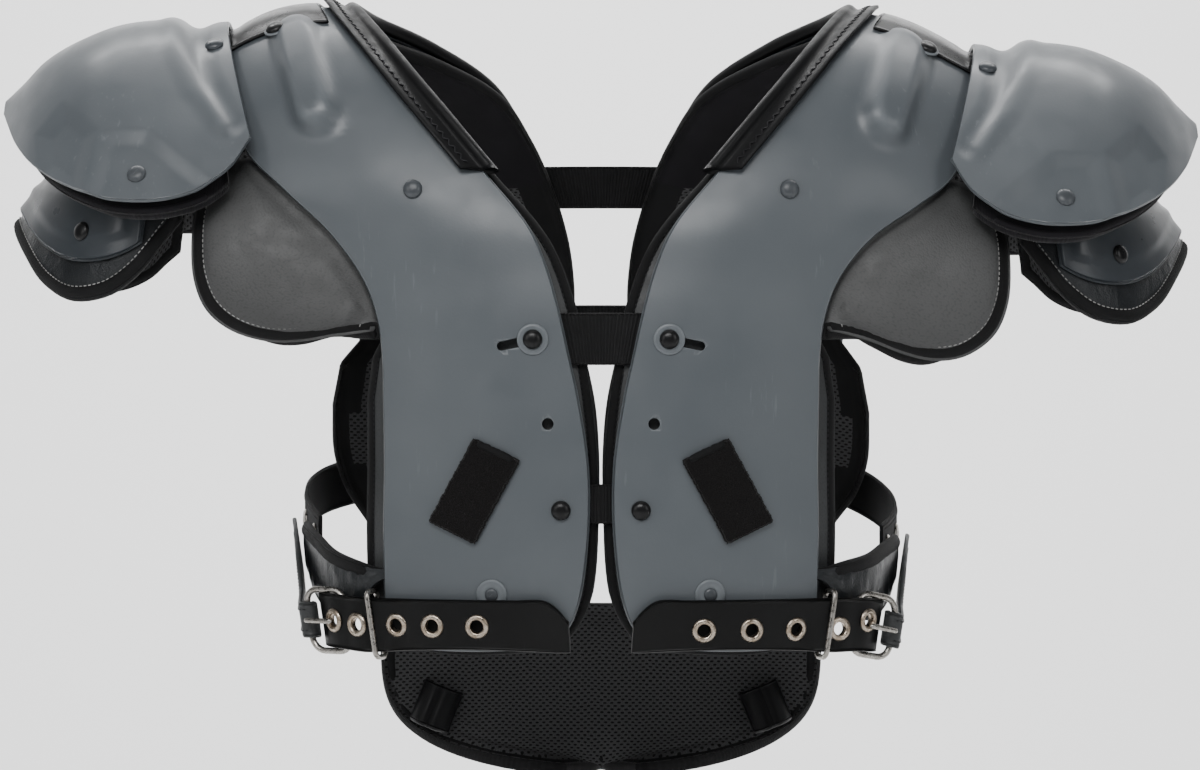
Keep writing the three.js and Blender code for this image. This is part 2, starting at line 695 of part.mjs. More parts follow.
function onDeltoid(round, down, off) {
  const step = 0.03;
  const ahead = Math.min(round + step, 1);
  const behind = Math.max(round - step, -1);
  const du = deltoidPoint(ahead, down).sub(deltoidPoint(behind, down));
  const dv = deltoidPoint(round, down + step).sub(deltoidPoint(round, down - step));
  return deltoidPoint(round, down).addScaledVector(dv.cross(du).normalize(), off);
}

const deltoidPadTop = -deltoidThickness - clearance;
const deltoidRows = deltoidSections.length - 1;
const deltoidCols = 3;
const deltoidShell = (side) => deltoidLayer(side, deltoidRows - 1, deltoidCols - 1, 0, -deltoidThickness);
const deltoidPad = (side) => (
  deltoidLayer(side, deltoidRows, deltoidCols, deltoidPadTop, deltoidPadTop - deltoidPadThickness)
);

// A flat band through rows of a top and a bottom point, its thickness split over both faces
function band(side, rows, thickness) {
  const faces = [1, -1].map((way) => rows.map((row, i) => {
    const before = rows[Math.max(i - 1, 0)];
    const after = rows[Math.min(i + 1, rows.length - 1)];
    const forward = after.top.clone().add(after.low).sub(before.top).sub(before.low);
    const normal = forward.cross(row.low.clone().sub(row.top)).normalize();
    return [row.top, row.low].map((point) => (
      place(point.clone().addScaledVector(normal, way * thickness / 2), side)));
  }));
  return bodyBetween(faces[0], faces[1]);
}

// Hidden strap that carries the deltoid cap: it runs under the cap's pad and down behind the deltoid pad
function deltoidStrap(side) {
  const under = -capPadTop - capPadThickness - 3 * clearance - strapThickness / 2;
  const half = deltoidStrapHalf / capHalf;
  const rows = capSections.slice(2, 6).map(({ out }) => ({
    top: onCap(out, -half, under),
    low: onCap(out, half, under),
  }));
  const behind = deltoidPadTop - deltoidPadThickness - 2 * clearance - strapThickness / 2;
  for (const down of [0, 0.3, 0.6]) {
    rows.push({
      top: onDeltoid(-deltoidStrapTurn, down, behind),
      low: onDeltoid(deltoidStrapTurn, down, behind),
    });
  }
  return band(side, rows, strapThickness);
}

const frontShare = (row) => vec(chestHalf * row.x, -frontReach * row.y, -frontDrop * row.z);

// Where the belt's stack stands off the plate
const beltOff = ringStrapSeat + ringStrapThickness + beltSeat + beltThickness / 2;

function beltRowOnPlate(x, upShare, lowShare, off) {
  const top = spotAt(x, -beltHeight + upShare * beltWidth / 2);
  const low = spotAt(x, -Math.min(beltHeight + lowShare * beltWidth / 2, frontDrop - 1));
  return { top: onArch(top.along, top.across, off), low: onArch(low.along, low.across, off) };
}

const beltSteps = 5;
const beltTaper = 12;
const beltStep = (step) => mix(beltTip + beltTaper, chestHalf - 2 * wireRadius - 3, step / beltSteps);

function belt(side) {
  const rows = [
    beltRowOnPlate(beltTip, 0.25, 0.75, beltOff),
    beltRowOnPlate(beltTip + 6, 0.75, 1, beltOff),
    beltRowOnPlate(beltTip + beltTaper, 1, 1, beltOff),
  ];
  for (let step = 1; step <= beltSteps; step += 1) {
    rows.push(beltRowOnPlate(beltStep(step), 1, 1, beltOff));
  }
  for (const spot of beltFreeRun) {
    const centre = frontShare(spot);
    rows.push({
      top: centre.clone().add(vec(beltLean / 2, 0, beltWidth / 2)),
      low: centre.clone().add(vec(-beltLean / 2, 0, -beltWidth / 2)),
    });
  }
  return band(side, rows, beltThickness);
}

// Short strap riveted to the plate under the belt, which holds the keeper ring
function ringStrap(side) {
  const off = ringStrapSeat + ringStrapThickness / 2;
  const rows = [1, 2, 3, 4, 5].map((step) => beltRowOnPlate(beltStep(step), 0.8, 0.7, off));
  return band(side, rows, ringStrapThickness);
}

// A closed loop of wire with rounded corners, in the plane of two directions
function wireLoop(side, centre, wide, high, width, height, radius) {
  const corner = Math.min(width, height) * 0.3;
  const path = [];
  const quarters = [[1, 1], [-1, 1], [-1, -1], [1, -1]];
  quarters.forEach(([sx, sy], quarter) => {
    for (const turn of [0, 0.5, 1]) {
      const angle = (quarter + turn) * Math.PI / 2;
      const x = sx * (width / 2 - corner) + corner * Math.cos(angle);
      const y = sy * (height / 2 - corner) + corner * Math.sin(angle);
      path.push(centre.clone().addScaledVector(wide, x).addScaledVector(high, y));
    }
  });
  return tube(side, path, radius, true);
}

// A round wire of six sides along a path
function tube(side, path, radius, closed) {
  const sides = 6;
  const count = path.length;
  const plane = path[1].clone().sub(path[0]).cross(path[Math.floor(count / 2)].clone().sub(path[0]));
  const up = plane.lengthSq() > 1e-6 ? plane.normalize() : vec(0, 0, 1);
  const rings = path.map((point, i) => {
    const before = closed ? path[(i + count - 1) % count] : path[Math.max(i - 1, 0)];
    const after = closed ? path[(i + 1) % count] : path[Math.min(i + 1, count - 1)];
    const forward = after.clone().sub(before).normalize();
    const outward = forward.clone().cross(up).normalize();
    return Array.from({ length: sides }, (_, s) => {
      const angle = 2 * Math.PI * s / sides;
      return place(point.clone()
        .addScaledVector(outward, radius * Math.cos(angle))
        .addScaledVector(up, radius * Math.sin(angle)), side);
    });
  });
  return bodyThrough(rings, closed);
}

const leanedUp = vec(beltLean / beltWidth, 0, 1).normalize();

function keeperRing(side) {
  const centre = frontShare(ringPlace);
  const through = vec(0.45, -1, 0).normalize();
  return wireLoop(side, centre, through, leanedUp, ringDepth, ringHeight, wireRadius);
}

// The buckle's frame lies round the belt's end, turned with the belt towards the wearer's side
const buckleWay = vec(-Math.cos(buckleTurn), -Math.sin(buckleTurn), 0);
const buckleCentre = frontShare(buckleBar).addScaledVector(buckleWay, buckleLength / 2);

const buckleFrame = (side) => (
  wireLoop(side, buckleCentre, buckleWay, leanedUp, buckleLength, buckleHeight, buckleWire)
);

// The prong lies from the wrapped bar over the belt's end
function buckleProng(side) {
  const out = vec(Math.sin(buckleTurn), -Math.cos(buckleTurn), 0);
  const bar = frontShare(buckleBar);
  const lift = buckleWire + buckleStrapThickness + 4 * clearance + wireRadius;
  const path = [0.02, 0.3, 0.6, 0.86].map((share, i) => (
    bar.clone().addScaledVector(buckleWay, share * buckleLength)
      .addScaledVector(out, lift + [0, 0.9, 1.2, 0.9][i])));
  return tube(side, path, wireRadius, false);
}

// Strap from the wing's end that wraps the buckle's bar
function buckleStrap(side) {
  const bar = frontShare(buckleBar);
  const radius = buckleWire + 3 * clearance + buckleStrapThickness / 2;
  const out = vec(Math.sin(buckleTurn), -Math.cos(buckleTurn), 0);
  const centres = buckleStrapRun.map(frontShare);
  const free = centres.length;
  const turned = (from, angle, length) => {
    const a = THREE.MathUtils.degToRad(angle);
    return from.clone()
      .addScaledVector(out, length * Math.cos(a))
      .addScaledVector(buckleWay, length * Math.sin(a));
  };
  const wrap = buckleWrapTurns.map((angle) => turned(bar, angle, radius));
  centres.push(...wrap, turned(wrap.at(-1), buckleWrapTurns.at(-1) + 90, buckleWrapTail));
  const rows = centres.map((centre, i) => {
    const half = i < free - 1 ? buckleStrapHalf : buckleWrapHalf;
    return {
      top: centre.clone().addScaledVector(leanedUp, half),
      low: centre.clone().addScaledVector(leanedUp, -half),
    };
  });
  return band(side, rows, buckleStrapThickness);
}

function sideWing(side) {
  const rows = wingSections.map((section) => ({
    top: frontShare({ x: section.x, y: section.y, z: section.top }),
    low: frontShare({ x: section.x - 0.02, y: section.y, z: section.low }),
  }));
  return band(side, rows, wingThickness);
}

function backBelt(side) {
  const rows = backBeltRun.map((spot) => {
    const centre = vec(chestHalf * spot.x, backReach * spot.y, -backDrop * spot.z);
    return {
      top: centre.clone().add(vec(0, 0, backBeltWidth / 2)),
      low: centre.clone().add(vec(0, 0, -backBeltWidth / 2)),
    };
  });
  return band(side, rows, backBeltThickness);
}

// Webbing from one arch to the other, between the plates and the pads
function webbing(spot, way) {
  const drop = way < 0 ? frontDrop : backDrop;
  const off = -plateThickness - webbingSeat - webbingThickness / 2;
  const edgeSpot = (share, inset) => {
    let along = 0.2 * way;
    while (Math.abs(along) < 1 && -archPoint(along, 0).z < share * drop) {
      along += 0.002 * way;
    }
    return onArch(along, inset, off);
  };
  const rowAt = (inset) => ({ top: edgeSpot(spot.top, inset), low: edgeSpot(spot.low, inset) });
  const half = [rowAt(-0.005), rowAt(webbingTuck)];
  const other = half.map((row) => ({ top: mirrored(row.top), low: mirrored(row.low) }));
  return band(-1, [other[1], other[0], ...half], webbingThickness);
}
const mirrored = (point) => vec(-point.x, point.y, point.z);

// Hook patch on the plate between four corners
function hookPatch(side) {
  const rows = 4;
  const cols = 3;
  const grid = (off) => Array.from({ length: rows + 1 }, (_, row) => (
    Array.from({ length: cols + 1 }, (__, col) => {
      const [a, b, c, d] = patchCorners;
      const across = col / cols;
      const down = row / rows;
      const x = mix(mix(a.x, b.x, across), mix(d.x, c.x, across), down);
      const z = mix(mix(a.z, b.z, across), mix(d.z, c.z, across), down);
      const spot = plateSpot({ x, z });
      return place(onArch(spot.along, spot.across, off), side);
    })));
  return bodyBetween(grid(clearance + patchThickness), grid(clearance));
}

// Lower back panel: one padded piece that follows the back's curve and rounds in at its foot
const panelTop = backDrop + padBelow + 2 * clearance;
const panelHollow = 16;
const panelBend = 14;

function panelPoint(across, down) {
  const foot = archRows[archRows.length - 1];
  const round = (1 - (0.99 * down) ** 5) ** 0.6;
  const depth = foot.inner.y - panelHollow * across * across - panelBend * down * down;
  return vec(panelHalf * round * across, depth, -mix(panelTop, panelBottom, down));
}

function backPanel() {
  const downs = [0, 0.25, 0.5, 0.7, 0.82, 0.91, 0.965, 1];
  const acrosses = [-1, -0.75, -0.5, -0.25, 0, 0.25, 0.5, 0.75, 1];
  const layer = (off) => downs.map((down) => acrosses.map((across) => (
    panelPoint(across, down).add(vec(0, off, 0)))));
  return bodyBetween(layer(0), layer(-panelThickness));
}

// The panel's inner face at a given x and height
function panelFace(x, z) {
  const down = (-z - panelTop) / (panelBottom - panelTop);
  const full = panelPoint(1, down).x;
  return panelPoint(x / full, down).y - panelThickness;
}

// A rolled loop of strap that stands out from the panel's inner face, open above and below, its lower end
// leaning outwards
const loopPlace = { x: 0.75, z: 0.61 };
function panelLoop(side) {
  const middle = vec(panelHalf * loopPlace.x, 0, -mix(panelTop, panelBottom, loopPlace.z));
  const steps = 8;
  const rows = Array.from({ length: steps + 1 }, (_, i) => {
    const angle = Math.PI * i / steps;
    const across = loopWidth / 2 * Math.cos(angle);
    const out = loopSeat + loopThickness / 2 + loopDepth * Math.sin(angle) ** 0.8;
    const corner = (way) => {
      const x = middle.x + across - way * loopSkew;
      const height = middle.z + way * loopHeight / 2 + across * loopSkew / (loopHeight / 2);
      return vec(x, panelFace(x, height) - out, height);
    };
    return { top: corner(1), low: corner(-1) };
  });
  return band(side, rows, loopThickness);
}

// A domed rivet on a flat washer, as a turned profile
function rivet(radius, height, washer) {
  const profile = [new THREE.Vector2(0, 0)];
  if (washer > 0) {
    profile.push(new THREE.Vector2(washer, 0), new THREE.Vector2(washer, washerThickness));
    profile.push(new THREE.Vector2(radius, washerThickness));
  } else {
    profile.push(new THREE.Vector2(radius, 0));
  }
  const base = washer > 0 ? washerThickness : 0;
  profile.push(new THREE.Vector2(radius * 0.95, base + height * 0.4));
  profile.push(new THREE.Vector2(radius * 0.6, base + height * 0.88));
  profile.push(new THREE.Vector2(0, base + height));
  return new THREE.LatheGeometry(profile, 10);
}

function rivetOnPlate(side, spot, washer = 0) {
  const { along, across } = plateSpot(spot);
  return standOn(rivet(rivetHead, rivetHeight, washer), side, along, across, clearance);
}

function rivetOnSurface(side, surface, u, v, off) {
  const seat = surface(u, v, off);
  const normal = surface(u, v, off + 1).sub(seat).normalize();
  const geometry = rivet(rivetHead, rivetHeight, 0);
  const placed = place(seat, side);
  normal.x *= side;
  return standAt(geometry, placed, normal);
}

const shoulderPad = new THREE.Group();

function add(name, geometry, look) {
  const mesh = new THREE.Mesh(geometry, new THREE.MeshStandardMaterial(look));
  mesh.name = name;
  shoulderPad.add(mesh);
}

for (const [hand, side] of [['right', -1], ['left', 1]]) {
  add(`arch_plate_${hand}`, archPlate(side), slate);
  add(`arch_pad_${hand}`, archPad(side), blackFoam);
  add(`neck_roll_${hand}`, neckRoll(side), blackPlastic);
  add(`shoulder_strap_${hand}`, shoulderStrap(side), blackPlastic);
  add(`cap_shell_${hand}`, capShell(side), slate);
  add(`cap_pad_${hand}`, capPad(side), blackFoam);
  add(`deltoid_shell_${hand}`, deltoidShell(side), slate);
  add(`deltoid_pad_${hand}`, deltoidPad(side), blackFoam);
  add(`deltoid_strap_${hand}`, deltoidStrap(side), blackWeb);
  add(`front_flap_${hand}`, flap(side, -1), greyVinyl);
  add(`back_flap_${hand}`, flap(side, 1), greyVinyl);
  add(`hook_patch_${hand}`, hookPatch(side), blackWeb);
  add(`belt_${hand}`, belt(side), blackPlastic);
  add(`ring_strap_${hand}`, ringStrap(side), blackWeb);
  add(`keeper_ring_${hand}`, keeperRing(side), nickel);
  add(`buckle_frame_${hand}`, buckleFrame(side), nickel);
  add(`buckle_prong_${hand}`, buckleProng(side), nickel);
  add(`buckle_strap_${hand}`, buckleStrap(side), greyVinyl);
  add(`side_wing_${hand}`, sideWing(side), greyVinyl);
  add(`back_belt_${hand}`, backBelt(side), blackWeb);
  add(`panel_loop_${hand}`, panelLoop(side), blackWeb);
  add(`plate_rivet_upper_${hand}`, rivetOnPlate(side, upperRivetSpot), blackPlastic);
  add(`slot_rivet_${hand}`, rivetOnPlate(side, slotSpot, washerRadius), blackPlastic);
  add(`plate_rivet_lower_${hand}`, rivetOnPlate(side, lowerRivetSpot), blackPlastic);
  add(`cap_rivet_${hand}`, rivetOnSurface(side, onCap, 0.34, -0.87, clearance), blackPlastic);
  const strapTop = strapThickness + 2 * clearance;
  add(`strap_rivet_${hand}`, rivetOnSurface(side, onArch, -0.06, 0.66, strapTop), blackPlastic);
  add(`deltoid_rivet_${hand}`, rivetOnSurface(side, onDeltoid, -0.5, 0.4, clearance), blackPlastic);
}
add('front_webbing', webbing(frontWebbing, -1), blackWeb);
add('front_elastic', webbing(frontElastic, -1), blackWeb);
add('back_webbing', webbing(backWebbing, 1), blackWeb);
add('back_elastic', webbing(backElastic, 1), blackWeb);
add('back_panel', backPanel(), blackFoam);

export default shoulderPad;
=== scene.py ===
# Football shoulder pad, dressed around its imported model. Lengths here are millimetres in the model's frame,
# and turn into metres where a mesh is made.
import math

import bpy
import numpy as np
from mathutils import Matrix, Vector


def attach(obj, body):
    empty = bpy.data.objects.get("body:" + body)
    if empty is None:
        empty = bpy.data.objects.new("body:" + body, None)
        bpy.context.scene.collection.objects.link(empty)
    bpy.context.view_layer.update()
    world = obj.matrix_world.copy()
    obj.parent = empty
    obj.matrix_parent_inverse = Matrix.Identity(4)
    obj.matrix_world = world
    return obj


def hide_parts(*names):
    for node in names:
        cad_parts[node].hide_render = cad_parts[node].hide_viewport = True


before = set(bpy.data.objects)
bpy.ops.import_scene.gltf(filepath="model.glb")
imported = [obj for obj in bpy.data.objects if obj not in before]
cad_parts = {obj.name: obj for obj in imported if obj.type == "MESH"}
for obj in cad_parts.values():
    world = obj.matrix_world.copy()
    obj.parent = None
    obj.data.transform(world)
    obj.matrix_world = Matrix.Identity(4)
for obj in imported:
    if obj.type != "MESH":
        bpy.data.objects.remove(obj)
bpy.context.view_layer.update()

MM = 0.001
SIDES = {"right": -1, "left": 1}

# Driving sizes of the arches
NECK_HALF = 137
SHOULDER_HALF = 197
CHEST_HALF = 111
FRONT_REACH = 132
BACK_REACH = 139
FRONT_DROP = 335
BACK_DROP = 320
PLATE_THICKNESS = 2.8
PLATE_CROWN = 7
CLEARANCE = 0.3
LEFT_SAG = 12
SAG_START = 118
SAG_END = 190
PLATE_ROWS = 30

# Sizes of the soft parts and straps
PAD_THICKNESS = 13
PAD_EDGE = 5
PAD_BELOW = 4
PAD_OFFSET = 5.9
PAD_SEAM = 3.6
WEBBING_THICKNESS = 1.5
WEBBING_SEAT = 0.8
ROLL_RADIUS = 3.8
ROLL_FLANGE = 12
ROLL_FLANGE_THICKNESS = 2
ROLL_RISE = 2.86
FLAP_THICKNESS = 13
FLAP_EDGE = 7.5
FLAP_CROWN = 6
FLAP_REACH = SHOULDER_HALF + 16
STRAP_THICKNESS = 1.8
STRAP_HALF_WIDTH = 45
STRAP_UNDER_CAP = 2.8

# Sizes of the caps
CAP_REACH = 119.4
CAP_HALF = 116
CAP_DROP = 105
CAP_LEAN = 18.6
CAP_GAP = 2.6
CAP_TURN = 1.3
CAP_THICKNESS = 2.5
CAP_PAD_THICKNESS = 7
CAP_PAD_BELOW = 5
DELTOID_DROP = 155
DELTOID_THICKNESS = 2.5
DELTOID_PAD_THICKNESS = 8
DELTOID_BACK_START = 0.8
DELTOID_BACK_LOW = 0.93

# Sizes of belts, buckles, wings and the back panel
BELT_WIDTH = 27
BELT_THICKNESS = 3
BELT_HEIGHT = FRONT_DROP - 11.5
BELT_TIP = 17
BELT_TAPER = 12
BELT_LEAN = 4
BELT_OFF = 5.7
WIRE_RADIUS = 1.4
BUCKLE_WIRE = 1.7
BUCKLE_STRAP_THICKNESS = 2.4
WING_THICKNESS = 6
BACK_BELT_WIDTH = 24
BACK_BELT_THICKNESS = 2.2
PANEL_HALF = 122
PANEL_TOP = 324.6
PANEL_BOTTOM = 415
PANEL_THICKNESS = 12
PANEL_HOLLOW = 16
PANEL_BEND = 14
LOOP_WIDTH = 19
LOOP_HEIGHT = 20
LOOP_DEPTH = 14.5
LOOP_THICKNESS = 2.5
LOOP_SKEW = 4
LOOP_SEAT = 0.1
RIVET_HEAD = 5
RIVET_HEIGHT = 3.4
WASHER_RADIUS = 8
PATCH_THICKNESS = 2.4

# Sections of the arch from the ridge down, in the shares that the model uses: inner x, flare, inner and
# outer y, inner and outer z, and the pad's inner and outer margins
RIDGE_SECTION = (1, 1, 0, 0, 0, 0.043, 0.9, 0)
FRONT_SECTIONS = (
    (0.971, 1.000, 0.227, 0.197, 0.015, 0.057, 0.9, 0),
    (0.876, 0.977, 0.455, 0.356, 0.060, 0.104, 0.9, 0),
    (0.745, 0.930, 0.644, 0.500, 0.125, 0.167, 0.9, 0),
    (0.584, 0.837, 0.788, 0.606, 0.203, 0.239, 0.9, 0),
    (0.438, 0.605, 0.871, 0.720, 0.275, 0.299, 0.9, 0),
    (0.270, 0.314, 0.939, 0.788, 0.361, 0.370, 1.0, 0),
    (0.204, 0.116, 0.962, 0.818, 0.424, 0.442, 1.2, 0),
    (0.161, 0.035, 0.985, 0.833, 0.487, 0.501, 1.3, 0),
    (0.124, 0.006, 0.992, 0.839, 0.555, 0.558, 1.2, 0.8),
    (0.089, 0.000, 1.000, 0.841, 0.621, 0.621, 1.0, 1),
    (0.052, -0.006, 1.000, 0.841, 0.722, 0.722, 0.75, 1),
    (0.051, 0.000, 0.992, 0.830, 0.821, 0.821, 0.7, 1),
    (0.080, -0.006, 0.966, 0.811, 0.919, 0.919, 0.9, 1),
    (0.124, -0.017, 0.939, 0.795, 0.970, 0.973, 0.9, 1),
    (0.197, -0.081, 0.917, 0.784, 1.000, 1.000, 0.9, 1),
)
BACK_SECTIONS = (
    (0.920, 1.000, 0.216, 0.187, 0.016, 0.059, 1.3, 0),
    (0.708, 0.977, 0.432, 0.345, 0.053, 0.109, 1.3, 0),
    (0.482, 0.930, 0.619, 0.489, 0.113, 0.175, 1.3, 0),
    (0.365, 0.837, 0.763, 0.619, 0.188, 0.250, 1.2, 0),
    (0.270, 0.663, 0.856, 0.719, 0.275, 0.325, 1.1, 0),
    (0.204, 0.465, 0.921, 0.791, 0.369, 0.400, 1.1, 0),
    (0.175, 0.349, 0.957, 0.827, 0.444, 0.469, 1, 0),
    (0.168, 0.291, 0.978, 0.849, 0.509, 0.531, 1, 0),
    (0.124, 0.273, 0.993, 0.856, 0.584, 0.591, 1, 0.8),
    (0.088, 0.267, 1.000, 0.860, 0.662, 0.662, 1, 1),
    (0.073, 0.256, 1.000, 0.856, 0.750, 0.750, 1, 1),
    (0.073, 0.174, 0.986, 0.842, 0.825, 0.825, 1, 1),
    (0.088, 0.000, 0.957, 0.813, 0.906, 0.906, 1, 1),
    (0.131, -0.081, 0.928, 0.791, 0.966, 0.966, 1, 1),
    (0.219, -0.151, 0.906, 0.777, 1.000, 1.000, 1, 1),
)
PAD_MARGINS = {-1: (8, 18), 1: (9, 24)}

# Rim of the flap: out, y and z
FLAP_RIM = (
    (0.869, 0.520, 0.251),
    (0.980, 0.600, 0.316),
    (1.000, 0.680, 0.379),
    (0.980, 0.727, 0.439),
    (0.909, 0.742, 0.487),
    (0.778, 0.750, 0.519),
    (0.586, 0.765, 0.537),
    (0.394, 0.788, 0.537),
    (0.202, 0.811, 0.525),
    (0.030, 0.833, 0.513),
)

# Sections of the cap: out, lean, ridge, rim, half and power
CAP_SECTIONS = (
    (0.000, 1.00, 0.060, 0.695, 0.793, 1.95),
    (0.037, 0.75, 0.064, 0.838, 0.897, 1.95),
    (0.121, 0.32, 0.081, 0.952, 0.974, 1.95),
    (0.271, 0.00, 0.052, 1.000, 1.000, 2.10),
    (0.472, 0.00, 0.079, 0.986, 0.940, 2.20),
    (0.665, 0.00, 0.162, 0.914, 0.776, 2.20),
    (0.807, 0.00, 0.257, 0.819, 0.586, 2.10),
    (0.908, 0.00, 0.371, 0.705, 0.379, 2.00),
    (0.966, 0.00, 0.433, 0.600, 0.200, 1.90),
    (1.000, 0.00, 0.467, 0.530, 0.080, 1.80),
)

# Half of the deltoid cap from its front end: top out, top side, low out, low side, top and low
DELTOID_SECTIONS = (
    (0.190, 0.735, 0.172, 0.740, 0.590, 0.745),
    (0.300, 0.725, 0.352, 0.750, 0.600, 0.910),
    (0.422, 0.685, 0.502, 0.720, 0.600, 0.985),
    (0.572, 0.550, 0.682, 0.630, 0.590, 1.000),
    (0.692, 0.390, 0.822, 0.480, 0.575, 0.945),
    (0.782, 0.210, 0.937, 0.270, 0.565, 0.835),
    (0.822, 0.000, 1.012, 0.000, 0.560, 0.735),
)

# Runs beside the chest, as shares of CHEST_HALF, FRONT_REACH and FRONT_DROP
BELT_FREE_RUN = (
    (1.090, 0.830, 0.966),
    (1.170, 0.777, 0.964),
    (1.225, 0.739, 0.962),
    (1.262, 0.697, 0.961),
    (1.284, 0.652, 0.960),
)
WING_TOP = (
    (1.036, 0.805, 0.880),
    (1.120, 0.758, 0.872),
    (1.240, 0.620, 0.858),
    (1.330, 0.400, 0.838),
    (1.400, 0.150, 0.824),
    (1.425, -0.080, 0.820),
)
WING_LOW = (0.898, 0.930, 0.955, 0.940, 0.905, 0.872)
BUCKLE_STRAP_RUN = (
    (1.470, -0.060, 0.848),
    (1.450, 0.090, 0.866),
    (1.425, 0.280, 0.903),
    (1.400, 0.460, 0.942),
)
BUCKLE_BAR = (1.356, 0.636, 0.962)
BUCKLE_LENGTH = 24
BUCKLE_HEIGHT = 32
BUCKLE_TURN = 0.574
BUCKLE_WRAP_TURNS = (-60, -20, 20, 60, 100, 135)
BUCKLE_WRAP_TAIL = 9
BUCKLE_STRAP_HALF = 11
BUCKLE_WRAP_HALF = 8.2
RING_PLACE = (1.036, 0.8265, 0.965)
RING_HEIGHT = 34
RING_DEPTH = 11.5
BACK_BELT_RUN = (
    (1.036, 0.921, 0.781),
    (1.225, 0.876, 0.794),
    (1.369, 0.813, 0.809),
    (1.441, 0.691, 0.825),
    (1.459, 0.475, 0.847),
    (1.419, 0.259, 0.869),
    (1.358, 0.058, 0.887),
)
LOOP_PLACE = (0.75, 0.61)

# Places on the front plate, as shares of CHEST_HALF and FRONT_DROP
UPPER_RIVET = (0.865, 0.302)
SLOT = (0.312, 0.531)
SLOT_END = (0.455, 0.541)
HOLE = (0.243, 0.659)
LOWER_RIVET = (0.183, 0.790)
FOOT_WASHER = 7.9
FOOT_RIVET = (0.500, 0.918)
PATCH_CORNERS = ((0.577, 0.683), (0.376, 0.715), (0.577, 0.838), (0.778, 0.806))
WEBBINGS = {
    "front_webbing": (-1, 0.490, 0.566),
    "front_elastic": (-1, 0.752, 0.808),
    "back_webbing": (1, 0.241, 0.312),
    "back_elastic": (1, 0.488, 0.560),
}
EYELETS = {"right": (63, 86, 104.6, 125), "left": (52.3, 76.7, 99.6, 122)}
EYELET_DROP = 323.6


# Curves and grids of points

def unit(vectors):
    return vectors / np.maximum(np.linalg.norm(vectors, axis=-1, keepdims=True), 1e-9)


class Curve:
    """A smooth curve through points, or a row of such curves, run through from 0 to 1"""

    def __init__(self, points):
        points = np.array(points, float)
        self.last = len(points) - 1
        first = 2 * points[:1] - points[1:2]
        end = 2 * points[-1:] - points[-2:-1]
        self.points = np.concatenate([first, points, end])

    def __call__(self, share):
        place01 = np.clip(np.asarray(share, float), 0, 1) * self.last
        row = np.minimum(place01.astype(int), self.last - 1)
        shape = place01.shape + (1,) * (self.points.ndim - 1)
        w = (place01 - row).reshape(shape)
        p0, p1, p2, p3 = (self.points[row + k] for k in range(4))
        d0, d1, d2 = (np.maximum(np.linalg.norm(b - a, axis=-1, keepdims=True) ** 0.5, 1e-4)
                      for a, b in ((p0, p1), (p1, p2), (p2, p3)))
        t1 = ((p1 - p0) / d0 - (p2 - p0) / (d0 + d1) + (p2 - p1) / d1) * d1
        t2 = ((p2 - p1) / d1 - (p3 - p1) / (d1 + d2) + (p3 - p2) / d2) * d1
        return p1 + w * (t1 + w * (3 * (p2 - p1) - 2 * t1 - t2 + w * (2 * (p1 - p2) + t1 + t2)))


def refine(grid, rows, cols):
    """A coarse grid of points as a smooth fine one"""
    down = Curve(grid)(np.linspace(0, 1, rows + 1))
    return np.swapaxes(Curve(np.swapaxes(down, 0, 1))(np.linspace(0, 1, cols + 1)), 0, 1)


def normals_of(grid):
    return unit(np.cross(np.gradient(grid, axis=0), np.gradient(grid, axis=1)))


def smooth(x, low, high):
    t = np.clip((x - low) / (high - low), 0, 1)
    return t * t * (3 - 2 * t)


def mix(a, b, share):
    return a + (b - a) * share


def place(points, side):
    """Every shape is worked out at +X, and put on its own side here"""
    placed = np.array(points, float)
    if side > 0:
        placed[..., 2] -= LEFT_SAG * smooth(np.abs(placed[..., 0]), SAG_START, SAG_END)
    placed[..., 0] *= side
    return placed


def front_share(shares):
    return np.array(shares, float) * (CHEST_HALF, -FRONT_REACH, -FRONT_DROP)


def arch_edges():
    inner, outer, margins = [], [], []
    rows = [(s, -1) for s in reversed(FRONT_SECTIONS)] + [(RIDGE_SECTION, -1)] + [(s, 1) for s in BACK_SECTIONS]
    for (in_x, flare, in_y, out_y, in_z, out_z, pad_in, pad_out), way in rows:
        reach, drop = (FRONT_REACH, FRONT_DROP) if way < 0 else (BACK_REACH, BACK_DROP)
        inner.append((NECK_HALF * in_x, way * reach * in_y, -drop * in_z))
        outer.append((mix(CHEST_HALF, SHOULDER_HALF, flare), way * reach * out_y, -drop * out_z))
        margins.append((pad_in * PAD_MARGINS[way][0], pad_out * PAD_MARGINS[way][1]))
    return Curve(inner), Curve(outer), np.array(margins)


INNER_EDGE, OUTER_EDGE, MARGINS = arch_edges()


def arch_point(along, across):
    """Along goes from -1 at the front's foot to 1 at the back's, across from the neck edge to the outer one"""
    along, across = np.broadcast_arrays(np.asarray(along, float), np.asarray(across, float))
    t = np.clip((along + 1) / 2, 0, 1)
    step = 2e-3
    inner, outer = INNER_EDGE(t), OUTER_EDGE(t)
    ahead, behind = np.minimum(t + step, 1), np.maximum(t - step, 0)
    forward = OUTER_EDGE(ahead) + INNER_EDGE(ahead) - OUTER_EDGE(behind) - INNER_EDGE(behind)
    row_way = outer - inner
    out = -unit(np.cross(forward, row_way))
    share = across[..., None]
    return inner + row_way * share + out * PLATE_CROWN * 4 * share * (1 - share)


def arch_normal(along, across):
    along, across = np.broadcast_arrays(np.asarray(along, float), np.asarray(across, float))
    step = 2e-3
    middle = np.clip(along, step - 1, 1 - step)
    du = arch_point(middle + step, across) - arch_point(middle - step, across)
    dv = arch_point(along, across + step) - arch_point(along, across - step)
    return unit(np.cross(dv, du))


def on_arch(along, across, off):
    return arch_point(along, across) + arch_normal(along, across) * np.asarray(off, float)[..., None]


